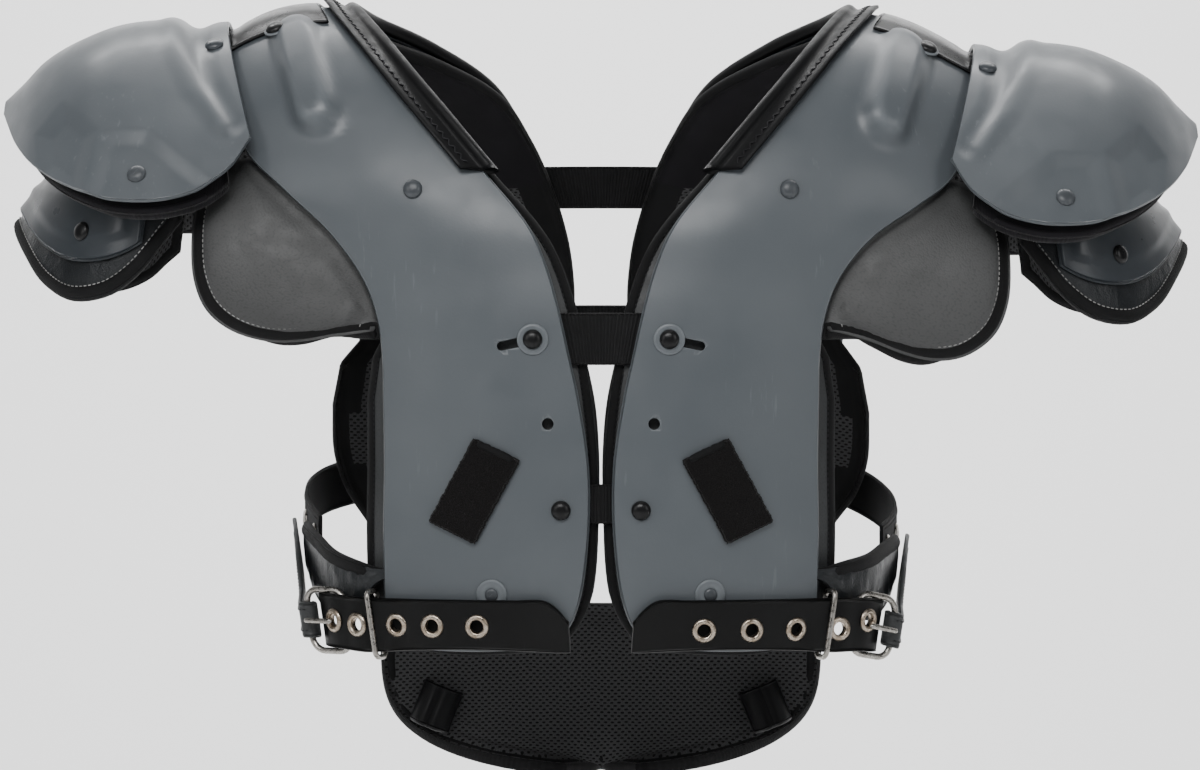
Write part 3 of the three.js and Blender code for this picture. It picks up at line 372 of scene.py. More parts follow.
def spot_at(x, z, way=-1):
    """Where on the arch a point with a given x and height lies"""
    along, across, step = 0.6 * way, 0.5, 1e-3
    for _ in range(12):
        here = arch_point(along, across)
        da = (arch_point(along + step, across) - here) / step
        dc = (arch_point(along, across + step) - here) / step
        det = da[0] * dc[2] - da[2] * dc[0]
        ex, ez = x - here[0], z - here[2]
        along = float(np.clip(along + (ex * dc[2] - ez * dc[0]) / det, -0.998, 0.998))
        across = float(np.clip(across + (da[0] * ez - da[2] * ex) / det, -0.2, 1.3))
    return along, across


def plate_spot(shares):
    return spot_at(shares[0] * CHEST_HALF, -shares[1] * FRONT_DROP)


def cap_points(rows, rounds, below=0):
    out, lean, ridge, rim, half, power = np.moveaxis(Curve(CAP_SECTIONS)(rows)[:, None, :], -1, 0)
    share = np.sin(CAP_TURN * rounds) / np.sin(CAP_TURN)
    arch = np.abs(share) ** power
    x = SHOULDER_HALF + CAP_GAP + CAP_REACH * out - CAP_LEAN * lean * share * share
    y = CAP_HALF * half * share
    z = -CAP_DROP * ridge - (CAP_DROP * (rim - ridge) + below) * arch
    return np.stack(np.broadcast_arrays(x, y, z), axis=-1)


def deltoid_grid(rows, cols, low=1.0):
    last = len(DELTOID_SECTIONS) - 1
    coarse = []
    for turn in np.linspace(-1, 1, 2 * last + 1):
        way = -1 if turn < 0 else 1
        row = last - abs(turn) * (last if way < 0 else last - DELTOID_BACK_START)
        top_out, top_side, low_out, low_side, top, bottom = (
            np.interp(row, range(last + 1), column) for column in np.transpose(DELTOID_SECTIONS))
        bottom *= 1 if way < 0 else mix(1, DELTOID_BACK_LOW, abs(turn))
        upper = np.array((SHOULDER_HALF + CAP_REACH * top_out, way * CAP_HALF * top_side, -DELTOID_DROP * top))
        lower = np.array((SHOULDER_HALF + CAP_REACH * low_out, way * CAP_HALF * low_side, -DELTOID_DROP * bottom))
        coarse.append([upper, mix(upper, lower, 0.5 * low), mix(upper, lower, low)])
    return refine(np.array(coarse), rows, cols)


def arc_lengths(grid):
    """Lengths along a grid's middle column and across each row, in millimetres, for weaves to follow"""
    rows, cols = grid.shape[:2]
    middle = cols // 2
    down = np.linalg.norm(np.diff(grid[:, middle], axis=0), axis=-1)
    u = np.concatenate([[0], np.cumsum(down)])
    across = np.linalg.norm(np.diff(grid, axis=1), axis=-1)
    v = np.concatenate([np.zeros((rows, 1)), np.cumsum(across, axis=1)], axis=1)
    return np.stack([np.broadcast_to(u[:, None], (rows, cols)), v - v[:, middle:middle + 1]], axis=-1)


def spaced(count, ends=0.0015):
    """Even shares from 0 to 1 with a line close to each end, which keeps rounded edges crisp"""
    return np.concatenate([[0, ends], np.linspace(0, 1, count + 1)[1:-1], [1 - ends, 1]])


def edge_distance(grid):
    """How far each point of a grid is from its border, in millimetres"""
    across = np.linalg.norm(np.diff(grid, axis=1), axis=-1)
    v = np.concatenate([np.zeros((len(grid), 1)), np.cumsum(across, axis=1)], axis=1)
    down = np.linalg.norm(np.diff(grid, axis=0), axis=-1)
    u = np.concatenate([np.zeros((1, grid.shape[1])), np.cumsum(down, axis=0)], axis=0)
    return np.minimum(np.minimum(v, v[:, -1:] - v), np.minimum(u, u[-1:] - u))


def cushion(distance, flat, width):
    """From 0 on a pad's sewn edge to 1 on its crown"""
    t = np.clip((distance - flat) / width, 0, 1)
    return np.sqrt(1 - (1 - t) ** 2)


def ripples(u, v, length, seed):
    """Soft uneven waves of about a given length, between -1 and 1"""
    total = np.zeros(np.broadcast(u, v).shape)
    for k in range(5):
        angle = seed + 2.4 * k
        wave = 2 * math.pi / length * (0.7 + 0.23 * k)
        total = total + np.sin(wave * (u * math.cos(angle) + v * math.sin(angle)) + seed * (k + 1) * 1.7
                               + 0.8 * np.sin(wave * 0.6 * (v * math.cos(angle) - u * math.sin(angle))))
    return total / 5


# Meshes

def border(rows, cols):
    """Row and column numbers round a grid's edge, once round"""
    return ([(r, 0) for r in range(rows - 1)] + [(rows - 1, c) for c in range(cols - 1)]
            + [(r, cols - 1) for r in range(rows - 1, 0, -1)] + [(0, c) for c in range(cols - 1, 0, -1)])


def turned_out(verts, faces):
    """Faces that all point out of a closed body"""
    corners = verts[np.array([f[:3] for f in faces])]
    volume = np.einsum("ij,ij->i", corners[:, 0], np.cross(corners[:, 1], corners[:, 2])).sum()
    return [f[::-1] for f in faces] if volume < 0 else faces


def new_piece(name, verts, faces, looks, uvs=None, look_of=None, replaces=(), flat=False):
    mesh = bpy.data.meshes.new(name)
    mesh.from_pydata((np.asarray(verts) * MM).tolist(), [], [list(map(int, f)) for f in faces])
    looks = looks if isinstance(looks, (list, tuple)) else [looks]
    for look in looks:
        mesh.materials.append(look)
    if look_of is not None:
        mesh.polygons.foreach_set("material_index", np.asarray(look_of, dtype=np.int32))
    if uvs is not None:
        layer = mesh.uv_layers.new(name="cut")
        loops = np.zeros(len(mesh.loops), dtype=np.int32)
        mesh.loops.foreach_get("vertex_index", loops)
        layer.data.foreach_set("uv", np.asarray(uvs)[loops].ravel())
    if not flat:
        mesh.shade_smooth()
    mesh.update()
    piece = bpy.data.objects.new(name, mesh)
    bpy.context.scene.collection.objects.link(piece)
    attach(piece, "root")
    if replaces:
        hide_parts(*replaces)
    return piece


class Skin:
    """A sheet of points with its normals, on its own side, that other pieces can be seated on"""

    def __init__(self, grid, normals):
        self.grid = grid
        self.normals = normals

    def seat(self, x, z, way=-1):
        """The point with a given x and height, on the front half or, with way 1, the back half"""
        grid = self.grid
        far = (grid[..., 0] - x) ** 2 + (grid[..., 2] - z) ** 2 + np.where(grid[..., 1] * way < 0, 1e6, 0)
        i, j = np.unravel_index(np.argmin(far), far.shape)
        i = int(np.clip(i, 1, grid.shape[0] - 2))
        j = int(np.clip(j, 1, grid.shape[1] - 2))
        du = (grid[i + 1, j] - grid[i - 1, j]) / 2
        dv = (grid[i, j + 1] - grid[i, j - 1]) / 2
        gap = np.array((x - grid[i, j, 0], z - grid[i, j, 2]))
        a, b = np.linalg.solve(np.array([[du[0], dv[0]], [du[2], dv[2]]]), gap)
        return grid[i, j] + np.clip(a, -2, 2) * du + np.clip(b, -2, 2) * dv, self.normals[i, j]

    def rim(self, inset=0.0, parts="all"):
        """Points once round the border, with their normals and the ways out"""
        rows, cols = self.grid.shape[:2]
        ring = border(rows, cols)
        grid = self.grid
        points, normals, ways = [], [], []
        for r, c in ring:
            inner_r = min(max(r, 2), rows - 3)
            inner_c = min(max(c, 2), cols - 3)
            way = np.zeros(3)
            if inner_r != r:
                way += unit(grid[r, c] - grid[inner_r, c])
            if inner_c != c:
                way += unit(grid[r, c] - grid[r, inner_c])
            points.append(grid[r, c])
            normals.append(self.normals[r, c])
            ways.append(unit(way))
        points, normals, ways = np.array(points), np.array(normals), np.array(ways)
        ways = unit(ways - normals * (ways * normals).sum(axis=-1, keepdims=True))
        keep = np.ones(len(ring), bool)
        if parts != "all":
            keep = np.array([parts(r / (rows - 1), c / (cols - 1)) for r, c in ring])
            start = int(np.argmax(keep & ~np.roll(keep, 1)))
            points, normals, ways, keep = (np.roll(a, -start, axis=0) for a in (points, normals, ways, keep))
            points, normals, ways = points[keep], normals[keep], ways[keep]
            level = unit(np.cross(normals, np.gradient(points, axis=0)))
            ways = level * np.sign((level * ways).sum())
        return points - ways * inset, normals, ways


def body(name, grid, up, down, looks, side=1, sign=1, replaces=(), rim=4, bulge=1.0, pins=None,
         lower_look=None):
    """A closed body with a rounded rim round a grid of points: up and down are its faces' distances off it"""
    normals = sign * normals_of(grid)
    shape = grid.shape[:2]
    up = np.broadcast_to(np.asarray(up, float), shape)[..., None]
    down = np.broadcast_to(np.asarray(down, float), shape)[..., None]
    faces_of = [grid + normals * up, grid + normals * down]
    rows, cols = shape
    ring = border(rows, cols)
    flat = np.array([r * cols + c for r, c in ring])
    top, low = faces_of[0].reshape(-1, 3), faces_of[1].reshape(-1, 3)
    ways = Skin(grid, normals).rim()[2]
    middle = (top[flat] + low[flat]) / 2
    half = (top[flat] - low[flat]) / 2
    reach = np.linalg.norm(half, axis=-1, keepdims=True) * bulge
    loops = []
    for k in range(1, rim + 1):
        angle = math.pi * k / (rim + 1)
        loops.append(middle + half * math.cos(angle) + ways * reach * math.sin(angle))
    verts = place(np.concatenate([top, low] + loops), side)
    count = rows * cols
    uvs = arc_lengths(grid).reshape(-1, 2)
    uvs = np.concatenate([uvs, uvs] + [uvs[flat]] * rim)
    r, c = np.meshgrid(np.arange(rows - 1), np.arange(cols - 1), indexing="ij")
    a = (r * cols + c).ravel()
    quads = np.stack([a, a + cols, a + cols + 1, a + 1], axis=1)
    faces = quads.tolist() + (quads[:, ::-1] + count).tolist()
    look_of = [0] * len(quads)
    look_of += [1] * len(quads) if lower_look is None else lower_look[:-1, :-1].ravel().tolist()
    chain = [flat] + [2 * count + k * len(flat) + np.arange(len(flat)) for k in range(rim)] + [flat + count]
    for first, second in zip(chain, chain[1:]):
        ahead1, ahead2 = np.roll(first, -1), np.roll(second, -1)
        faces += np.stack([first, second, ahead2, ahead1], axis=1)[:, ::-1].tolist()
        look_of += [2] * len(first)
    corner_faces = turned_out(verts, faces)
    looks = looks if isinstance(looks, (list, tuple)) else [looks]
    look_of = np.minimum(look_of, len(looks) - 1)
    piece = new_piece(name, verts, corner_faces, looks, uvs, look_of, replaces)
    flip = np.array((side, 1, 1))
    skin = Skin(place(faces_of[0], side), normals * flip)
    if pins is not None:
        group = piece.vertex_groups.new(name="pin")
        held = np.concatenate([flat, flat + count, np.arange(2 * count, len(verts))])
        group.add(held.tolist(), 1.0, "REPLACE")
        extra = np.flatnonzero(pins.ravel())
        group.add(np.concatenate([extra, extra + count]).tolist(), 0.8, "REPLACE")
    return piece, skin


def swept(name, rings, looks, closed=False, replaces=(), uvs_scale=1.0):
    """A body through closed rings of points"""
    rings = np.asarray(rings, float)
    count, sides = rings.shape[:2]
    verts = rings.reshape(-1, 3)
    r, s = np.meshgrid(np.arange(count if closed else count - 1), np.arange(sides), indexing="ij")
    r, s = r.ravel(), s.ravel()
    ahead = (r + 1) % count
    faces = np.stack([r * sides + s, ahead * sides + s, ahead * sides + (s + 1) % sides, r * sides + (s + 1) % sides],
                     axis=1).tolist()
    if not closed:
        faces.append(list(range(sides))[::-1])
        faces.append([(count - 1) * sides + k for k in range(sides)])
    lengths = np.concatenate([[0], np.cumsum(np.linalg.norm(np.diff(rings.mean(axis=1), axis=0), axis=-1))])
    around = np.linalg.norm(np.diff(rings[0], axis=0), axis=-1)
    around = np.concatenate([[0], np.cumsum(around)])
    uvs = np.stack(np.broadcast_arrays(lengths[:, None], around[None, :]), axis=-1).reshape(-1, 2) * uvs_scale
    return new_piece(name, verts, turned_out(verts, faces), looks, uvs, None, replaces)


def tangents(path, closed=False):
    if closed:
        return unit(np.roll(path, -1, axis=0) - np.roll(path, 1, axis=0))
    return unit(np.gradient(path, axis=0))


def even_path(path, step, extra=(), closed=False):
    """A path, with any arrays that go with it, sampled again at even steps"""
    if closed:
        path = np.concatenate([path, path[:1]])
        extra = [np.concatenate([e, e[:1]]) for e in extra]
    lengths = np.concatenate([[0], np.cumsum(np.linalg.norm(np.diff(path, axis=0), axis=-1))])
    count = max(int(round(lengths[-1] / step)), 2)
    at = np.linspace(0, lengths[-1], count + 1)
    if closed:
        at = at[:-1]
    pick = [np.stack([np.interp(at, lengths, array[:, k]) for k in range(3)], axis=1) for array in (path, *extra)]
    return pick[0], [unit(array) for array in pick[1:]]


def tube(name, path, wide, high, looks, normals=None, closed=False, sides=12, replaces=(), step=None,
         taper=True):
    """A round or oval tube along a path, rounded off at its ends"""
    path = np.asarray(path, float)
    normals = np.broadcast_to(np.array((0, 0, 1.0)) if normals is None else np.asarray(normals, float), path.shape)
    if step:
        path, (normals,) = even_path(path, step, (normals,), closed)
    forward = tangents(path, closed)
    across = unit(np.cross(forward, normals))
    normal = np.cross(across, forward)
    scale = np.ones(len(path))
    if not closed and taper:
        offsets = [0.05, 0.5, 0.87]
        scale[:3] = offsets
        scale[-3:] = offsets[::-1]
        reach = min(wide, high)
        path = path.copy()
        for k, back in enumerate((1.0, 0.85, 0.45)):
            path[k] = path[3] - forward[3] * (reach * back)
            path[-1 - k] = path[-4] + forward[-4] * (reach * back)
    angle = 2 * math.pi * np.arange(sides) / sides
    ring = (across[:, None] * (np.cos(angle) * wide)[None, :, None]
            + normal[:, None] * (np.sin(angle) * high)[None, :, None])
    return swept(name, path[:, None] + ring * scale[:, None, None], looks, closed, replaces)


STITCH_SIDES = 6


def stitches(name, path, normals, look, pitch=3.6, length=2.5, radius=0.42, zigzag=0.0, closed=False):
    """A row of sewn threads on a surface, straight or leaning one way and the other"""
    centres, (ups,) = even_path(np.asarray(path, float), pitch, (np.asarray(normals, float),), closed)
    forward = tangents(centres, closed)
    across = unit(np.cross(ups, forward))
    if zigzag:
        lean = zigzag * np.where(np.arange(len(centres)) % 2 == 0, 1, -1)[:, None]
        forward = unit(forward + across * lean)
        across = unit(np.cross(ups, forward))
    angle = 2 * math.pi * np.arange(STITCH_SIDES) / STITCH_SIDES
    stations = ((-0.5, 0.35), (-0.36, 1.0), (0.36, 1.0), (0.5, 0.35))
    local = np.array([(a * length, s * radius * math.cos(t), s * radius * math.sin(t) - (0.2 if s < 1 else 0) * radius)
                      for a, s in stations for t in angle])
    verts = (centres[:, None] + forward[:, None] * local[None, :, 0:1] + across[:, None] * local[None, :, 1:2]
             + ups[:, None] * local[None, :, 2:3])
    one = []
    for k in range(3):
        for s in range(STITCH_SIDES):
            n = (s + 1) % STITCH_SIDES
            one.append([k * STITCH_SIDES + s, (k + 1) * STITCH_SIDES + s, (k + 1) * STITCH_SIDES + n,
                        k * STITCH_SIDES + n])
    one += [list(range(STITCH_SIDES))[::-1], [3 * STITCH_SIDES + s for s in range(STITCH_SIDES)]]
    per = len(local)
    faces = [[k * per + v for v in f] for k in range(len(centres)) for f in one]
    verts = verts.reshape(-1, 3)
    return new_piece(name, verts, turned_out(verts, faces), look)


def lathe(name, profile, seat, normal, look, steps=32, replaces=()):
    """A turned piece whose profile of radius and height stands on a seat along its normal"""
    profile = np.array(profile, float)
    angle = 2 * math.pi * np.arange(steps) / steps
    turn = np.array(Vector((0, 0, 1)).rotation_difference(Vector(normal)).to_matrix())
    rings = [np.stack([radius * np.cos(angle), radius * np.sin(angle), np.full(steps, height)], axis=1)
             for radius, height in profile]
    verts = np.concatenate(rings) @ turn.T + np.asarray(seat)
    count = len(profile)
    closed = np.allclose(profile[0], profile[-1])
    if closed:
        verts = verts[:-steps]
        count -= 1
    faces = []
    for k in range(count if closed else count - 1):
        first, second = k * steps, ((k + 1) % count) * steps
        faces += [[first + s, first + (s + 1) % steps, second + (s + 1) % steps, second + s] for s in range(steps)]
    if not closed:
        faces.append(list(range(steps))[::-1])
        faces.append([(count - 1) * steps + s for s in range(steps)])
    return new_piece(name, verts, turned_out(verts, faces), look, replaces=replaces)


def cut(piece, cutters):
    """Takes closed cutters out of a piece"""
    for cutter in cutters:
        modifier = piece.modifiers.new("cut", "BOOLEAN")
        modifier.operation = "DIFFERENCE"
        modifier.solver = "EXACT"
        modifier.object = cutter
    bake(piece)
    for cutter in cutters:
        bpy.data.objects.remove(cutter, do_unlink=True)


def bake(piece):
    """Puts a piece's modifiers into its mesh"""
    shown = piece.evaluated_get(bpy.context.evaluated_depsgraph_get())
    made = bpy.data.meshes.new_from_object(shown)
    piece.modifiers.clear()
    old = piece.data
    piece.data = made
    bpy.data.meshes.remove(old)


def cutter_along(start, end, radius, normal, height):
    """A closed prism with round ends from one seat to another"""
    start, end, normal = np.asarray(start, float), np.asarray(end, float), unit(np.asarray(normal, float))
    way = end - start
    way = unit(way) if np.linalg.norm(way) > 1e-6 else unit(np.cross(normal, (0.3, 0.1, 1)))
    across = np.cross(normal, way)
    ring = []
    for centre, base in ((end, -math.pi / 2), (start, math.pi / 2)):
        for k in range(13):
            angle = base + math.pi * k / 12
            ring.append(centre + radius * (way * math.cos(angle) + across * math.sin(angle)))
    ring = np.array(ring)
    verts = np.concatenate([ring - normal * height, ring + normal * height]) * MM
    count = len(ring)
    faces = [[k, (k + 1) % count, (k + 1) % count + count, k + count] for k in range(count)]
    faces += [list(range(count))[::-1], list(range(count, 2 * count))]
    mesh = bpy.data.meshes.new("cutter")
    mesh.from_pydata(verts.tolist(), [], turned_out(verts, faces))
    cutter = bpy.data.objects.new("cutter", mesh)
    bpy.context.scene.collection.objects.link(cutter)
    return cutter


# Materials

class Look:
    """A material whose nodes are added one by one"""

    def __init__(self, name, colour, rough, **sockets):
        self.material = bpy.data.materials.new(name)
        self.material.use_nodes = True
        self.tree = self.material.node_tree
        self.shader = self.tree.nodes["Principled BSDF"]
        self.shader.inputs["Base Color"].default_value = (*colour, 1)
        self.shader.inputs["Roughness"].default_value = rough
        for key, value in sockets.items():
            self.shader.inputs[key.replace("_", " ").title().replace("Ior", "IOR")].default_value = value

    def node(self, kind, inputs=None, **settings):
        made = self.tree.nodes.new(kind)
        for key, value in settings.items():
            setattr(made, key, value)
        for key, value in (inputs or {}).items():
            self.feed(made.inputs[key], value)
        return made

    def feed(self, socket, value):
        if isinstance(value, bpy.types.NodeSocket):
            self.tree.links.new(value, socket)
        else:
            socket.default_value = value

    def coords(self, uv=False, scale=(1, 1, 1), turn=0.0):
        source = self.node("ShaderNodeTexCoord").outputs["UV" if uv else "Object"]
        mapping = self.node("ShaderNodeMapping", {"Vector": source})
        mapping.inputs["Scale"].default_value = scale
        mapping.inputs["Rotation"].default_value = (0, 0, turn)
        return mapping.outputs["Vector"]

    def noise(self, coords, scale, detail=3.0, distortion=0.0):
        made = self.node("ShaderNodeTexNoise", {"Vector": coords, "Scale": scale, "Detail": detail,
                                                "Distortion": distortion})
        return made.outputs["Fac"]

    def math(self, operation, a, b=0.0):
        return self.node("ShaderNodeMath", {0: a, 1: b}, operation=operation).outputs[0]

    def ramp(self, value, low, high, to_low=0.0, to_high=1.0):
        return self.node("ShaderNodeMapRange", {"Value": value, "From Min": low, "From Max": high,
                                                "To Min": to_low, "To Max": to_high},
                         interpolation_type="SMOOTHSTEP").outputs["Result"]

    def colour(self, fac, a, b):
        made = self.node("ShaderNodeMix", data_type="RGBA")
        self.feed(made.inputs[0], fac)
        self.feed(made.inputs[6], a if isinstance(a, bpy.types.NodeSocket) else (*a, 1))
        self.feed(made.inputs[7], b if isinstance(b, bpy.types.NodeSocket) else (*b, 1))
        return made.outputs[2]

    def bump(self, height, distance, strength=1.0, under=None):
        made = self.node("ShaderNodeBump", {"Height": height, "Distance": distance, "Strength": strength})
        if under is not None:
            self.tree.links.new(under, made.inputs["Normal"])
        return made.outputs["Normal"]

    def finish(self, colour=None, rough=None, normal=None):
        for key, value in (("Base Color", colour), ("Roughness", rough), ("Normal", normal)):
            if value is not None:
                self.tree.links.new(value, self.shader.inputs[key])
        return self.material

    def edges(self, low=0.51, high=0.58):
        return self.ramp(self.node("ShaderNodeNewGeometry").outputs["Pointiness"], low, high)


def plastic(name, dark, pale, scuff_and_edge_highlight, rough, grain=0.00006, shine=0.4, coat=0.06):
    look = Look(name, dark, rough, specular_ior_level=shine, coat_weight=coat, coat_roughness=0.2)
    coords = look.coords()
    cloud = look.ramp(look.noise(coords, 9, 4), 0.35, 0.65)
    colour = look.colour(cloud, dark, pale)
    # Convex edges found by pointiness take the pale third colour: a painted highlight along the edges. The streaky
    # scuffs below take the same colour as real wear.
    colour = look.colour(look.math("MULTIPLY", look.edges(), 0.7), colour, scuff_and_edge_highlight)
    streaks = look.noise(look.coords(scale=(1, 1, 0.12), turn=0.5), 420, 2)
    scuffs = look.math("MULTIPLY", look.ramp(streaks, 0.62, 0.74), look.ramp(look.noise(coords, 14, 2), 0.5, 0.65))
    colour = look.colour(look.math("MULTIPLY", scuffs, 0.25), colour, scuff_and_edge_highlight)
    roughness = look.math("ADD", look.ramp(look.noise(coords, 60, 4), 0.3, 0.7, rough - 0.05, rough + 0.06),
                          look.math("MULTIPLY", scuffs, 0.12))
    peel = look.bump(look.noise(coords, 700, 2), grain, 0.6)
    swell = look.bump(look.noise(coords, 26, 2), 0.0004, 0.35, peel)
    return look.finish(colour, roughness, swell)


def mesh_cloth(name, thread, hole, across=3.9, down=3.7):
    """Knitted spacer cloth: staggered rows of small flat holes"""
    look = Look(name, thread, 0.8, specular_ior_level=0.25, sheen_weight=0.05, sheen_roughness=0.5)
    coords = look.coords(uv=True)
    drift = look.node("ShaderNodeTexNoise", {"Vector": coords, "Scale": 0.06, "Detail": 1.0}).outputs["Color"]
    shift = look.node("ShaderNodeVectorMath", {0: drift}, operation="SCALE")
    shift.inputs["Scale"].default_value = 2.2
    bent = look.node("ShaderNodeVectorMath", {0: coords, 1: shift.outputs["Vector"]}, operation="ADD")
    axes = look.node("ShaderNodeSeparateXYZ", {"Vector": bent.outputs["Vector"]}).outputs
    rows = look.math("COSINE", look.math("MULTIPLY", axes["X"], 2 * math.pi / down))
    columns = look.math("COSINE", look.math("MULTIPLY", axes["Y"], 2 * math.pi / across))
    between = look.math("COSINE", look.math("MULTIPLY", axes["X"], 4 * math.pi / down))
    depth = look.math("ADD", look.math("MULTIPLY", rows, columns), look.math("MULTIPLY", between, 0.45))
    solid = look.ramp(depth, 0.70, 0.12)
    fibres = look.noise(look.coords(uv=True, scale=(3.2, 1.4, 1)), 1.0, 3)
    colour = look.colour(look.ramp(fibres, 0.3, 0.7), thread, tuple(c * 1.8 for c in thread))
    # The holes take a near-black colour: painted shade inside the openings of the knit.
    colour = look.colour(solid, hole, colour)
    normal = look.bump(solid, 0.0006, 0.8)
    normal = look.bump(fibres, 0.00012, 0.4, normal)
    return look.finish(colour, None, normal)


def woven(name, thread, pitch=0.9, ribs=0.0, sheen=0.1, rough=0.8):
    """Tight plain cloth or webbing, with ribs along it if asked"""
    look = Look(name, thread, rough, specular_ior_level=0.25, sheen_weight=sheen, sheen_roughness=0.4)
    one = look.coords(uv=True, scale=(1 / pitch, 1 / pitch, 1))
    warp = look.node("ShaderNodeTexWave", {"Vector": one, "Scale": 0.5, "Distortion": 0.6, "Detail": 1.0},
                     bands_direction="X").outputs["Fac"]
    weft = look.node("ShaderNodeTexWave", {"Vector": one, "Scale": 0.5, "Distortion": 0.6, "Detail": 1.0},
                     bands_direction="Y").outputs["Fac"]
    weave = look.math("MULTIPLY", warp, weft)
    cloud = look.noise(look.coords(), 40, 3)
    # Thread crossings are painted lighter and the gaps between them darker: painted light and shade on the weave.
    colour = look.colour(look.ramp(weave, 0.1, 0.7), tuple(c * 0.55 for c in thread), tuple(c * 1.5 for c in thread))
    colour = look.colour(look.ramp(cloud, 0.35, 0.75), colour, tuple(c * 1.25 for c in thread))
    normal = look.bump(weave, 0.00022, 0.7)
    if ribs:
        rib = look.node("ShaderNodeTexWave", {"Vector": look.coords(uv=True), "Scale": 1 / (2 * ribs)},
                        bands_direction="X").outputs["Fac"]
        normal = look.bump(rib, 0.0005, 0.8, normal)
        # The troughs between ribs are painted darker: painted shade in the grooves.
        colour = look.colour(look.ramp(rib, 0.0, 0.5), tuple(c * 0.5 for c in thread), colour)
    return look.finish(colour, None, normal)


def vinyl(name, dark, pale, rough, grain=0.8, crease=0.3, shine=0.4, pebble=0.55):
    """Grained sheet vinyl with fine creases"""
    look = Look(name, dark, rough, specular_ior_level=shine)
    coords = look.coords()
    pebbles = look.node("ShaderNodeTexVoronoi", {"Vector": look.coords(uv=True, scale=(1 / grain, 1 / grain, 1)),
                                                 "Scale": 1.0}, voronoi_dimensions="2D",
                        feature="SMOOTH_F1").outputs["Distance"]
    folds = look.noise(look.coords(scale=(1, 1, 0.45), turn=0.3), 95, 4, 1.2)
    colour = look.colour(look.ramp(look.noise(coords, 22, 3), 0.3, 0.7), dark, pale)
    # The grooves between pebbles are painted darker: painted shade in the hollows of the grain.
    colour = look.colour(look.ramp(pebbles, 0.35, 0.75, 0, 0.35), colour, tuple(c * 0.5 for c in dark))
    roughness = look.ramp(look.noise(coords, 120, 3), 0.3, 0.7, rough - 0.07, rough + 0.08)
    normal = look.bump(look.math("SUBTRACT", 1.0, pebbles), 0.00022, pebble)
    normal = look.bump(folds, 0.0011, crease, normal)
    return look.finish(colour, roughness, normal)


def metal(name, colour, rough, tint):
    look = Look(name, colour, rough, metallic=1.0)
    coords = look.coords()
    blend = look.colour(look.ramp(look.noise(coords, 240, 4), 0.35, 0.7), colour, tint)
    roughness = look.ramp(look.noise(coords, 500, 3), 0.3, 0.7, rough - 0.08, rough + 0.14)
    normal = look.bump(look.noise(coords, 900, 2), 0.00003, 0.3)
    return look.finish(blend, roughness, normal)


def hooks(name, colour):
    look = Look(name, colour, 0.95, specular_ior_level=0.1, sheen_weight=0.08, sheen_roughness=0.6)
    fuzz = look.noise(look.coords(), 900, 4)
    lanes = look.node("ShaderNodeTexVoronoi", {"Vector": look.coords(uv=True, scale=(1.6, 1.6, 1)), "Scale": 1.0,
                                               "Randomness": 0.8}, voronoi_dimensions="2D").outputs["Distance"]
    height = look.math("ADD", look.math("MULTIPLY", look.ramp(lanes, 0.5, 0.0), 0.6), look.math("MULTIPLY", fuzz, 0.5))
    # Colour follows the pile's height, darker low and paler high: painted light and shade on the hook pile.
    shade = look.colour(look.ramp(height, 0.25, 0.8), tuple(c * 0.6 for c in colour), tuple(c * 1.6 for c in colour))
    return look.finish(shade, None, look.bump(height, 0.0005, 0.7))


SLATE = plastic("slate_plastic", (0.086, 0.097, 0.107), (0.098, 0.110, 0.120), (0.20, 0.22, 0.235), 0.38)
SLATE_DARK = plastic("dark_slate_plastic", (0.030, 0.035, 0.041), (0.040, 0.046, 0.052), (0.10, 0.11, 0.12), 0.32)
RIVET_SLATE = plastic("rivet_slate_plastic", (0.044, 0.050, 0.057), (0.052, 0.058, 0.064), (0.10, 0.11, 0.12), 0.34)
BLACK_PLASTIC = plastic("black_plastic", (0.0035, 0.0035, 0.004), (0.0055, 0.0055, 0.006), (0.02, 0.02, 0.02), 0.30,
                        shine=0.3, coat=0.0)
BELT_LOOK = plastic("belt_plastic", (0.0025, 0.0025, 0.0025), (0.0042, 0.0042, 0.0042), (0.016, 0.016, 0.016), 0.40,
                    0.0001, shine=0.2, coat=0.0)
MESH = mesh_cloth("mesh_cloth", (0.030, 0.030, 0.031), (0.0012, 0.0012, 0.0012))
BINDING = woven("binding_cloth", (0.0048, 0.0048, 0.0052), 0.8, sheen=0.02)
CUSHION = woven("brushed_cloth", (0.0068, 0.0060, 0.0078), 0.7, sheen=0.10, rough=0.9)
WEBBING = woven("webbing", (0.0085, 0.0085, 0.009), 1.0, ribs=2.6, sheen=0.02)
STRAP_WEB = woven("strap_webbing", (0.004, 0.004, 0.0045), 1.1, sheen=0.02)
GREY_VINYL = vinyl("grey_vinyl", (0.030, 0.032, 0.033), (0.042, 0.044, 0.045), 0.50, 0.9, 0.15)
FLAP_CLOTH = vinyl("flap_vinyl", (0.052, 0.053, 0.053), (0.064, 0.065, 0.065), 0.55, 1.1, 0.10)
DARK_VINYL = vinyl("dark_vinyl", (0.010, 0.0115, 0.013), (0.018, 0.020, 0.022), 0.36, 0.9, 0.6, 0.35)
BLACK_VINYL = vinyl("black_vinyl", (0.003, 0.003, 0.0035), (0.0055, 0.0055, 0.006), 0.46, 0.8, 0.10, 0.2, 0.15)
HOOKS = hooks("hook_cloth", (0.0052, 0.0044, 0.0045))
NICKEL = metal("nickel", (0.46, 0.44, 0.41), 0.28, (0.34, 0.32, 0.29))
EYELET = metal("eyelet_nickel", (0.54, 0.47, 0.39), 0.30, (0.36, 0.29, 0.22))
WHITE_THREAD = woven("pale_thread", (0.36, 0.36, 0.35), 0.4, sheen=0.0, rough=0.7)
BLACK_THREAD = woven("dark_thread", (0.014, 0.014, 0.016), 0.4, sheen=0.0, rough=0.6)


# Hard parts

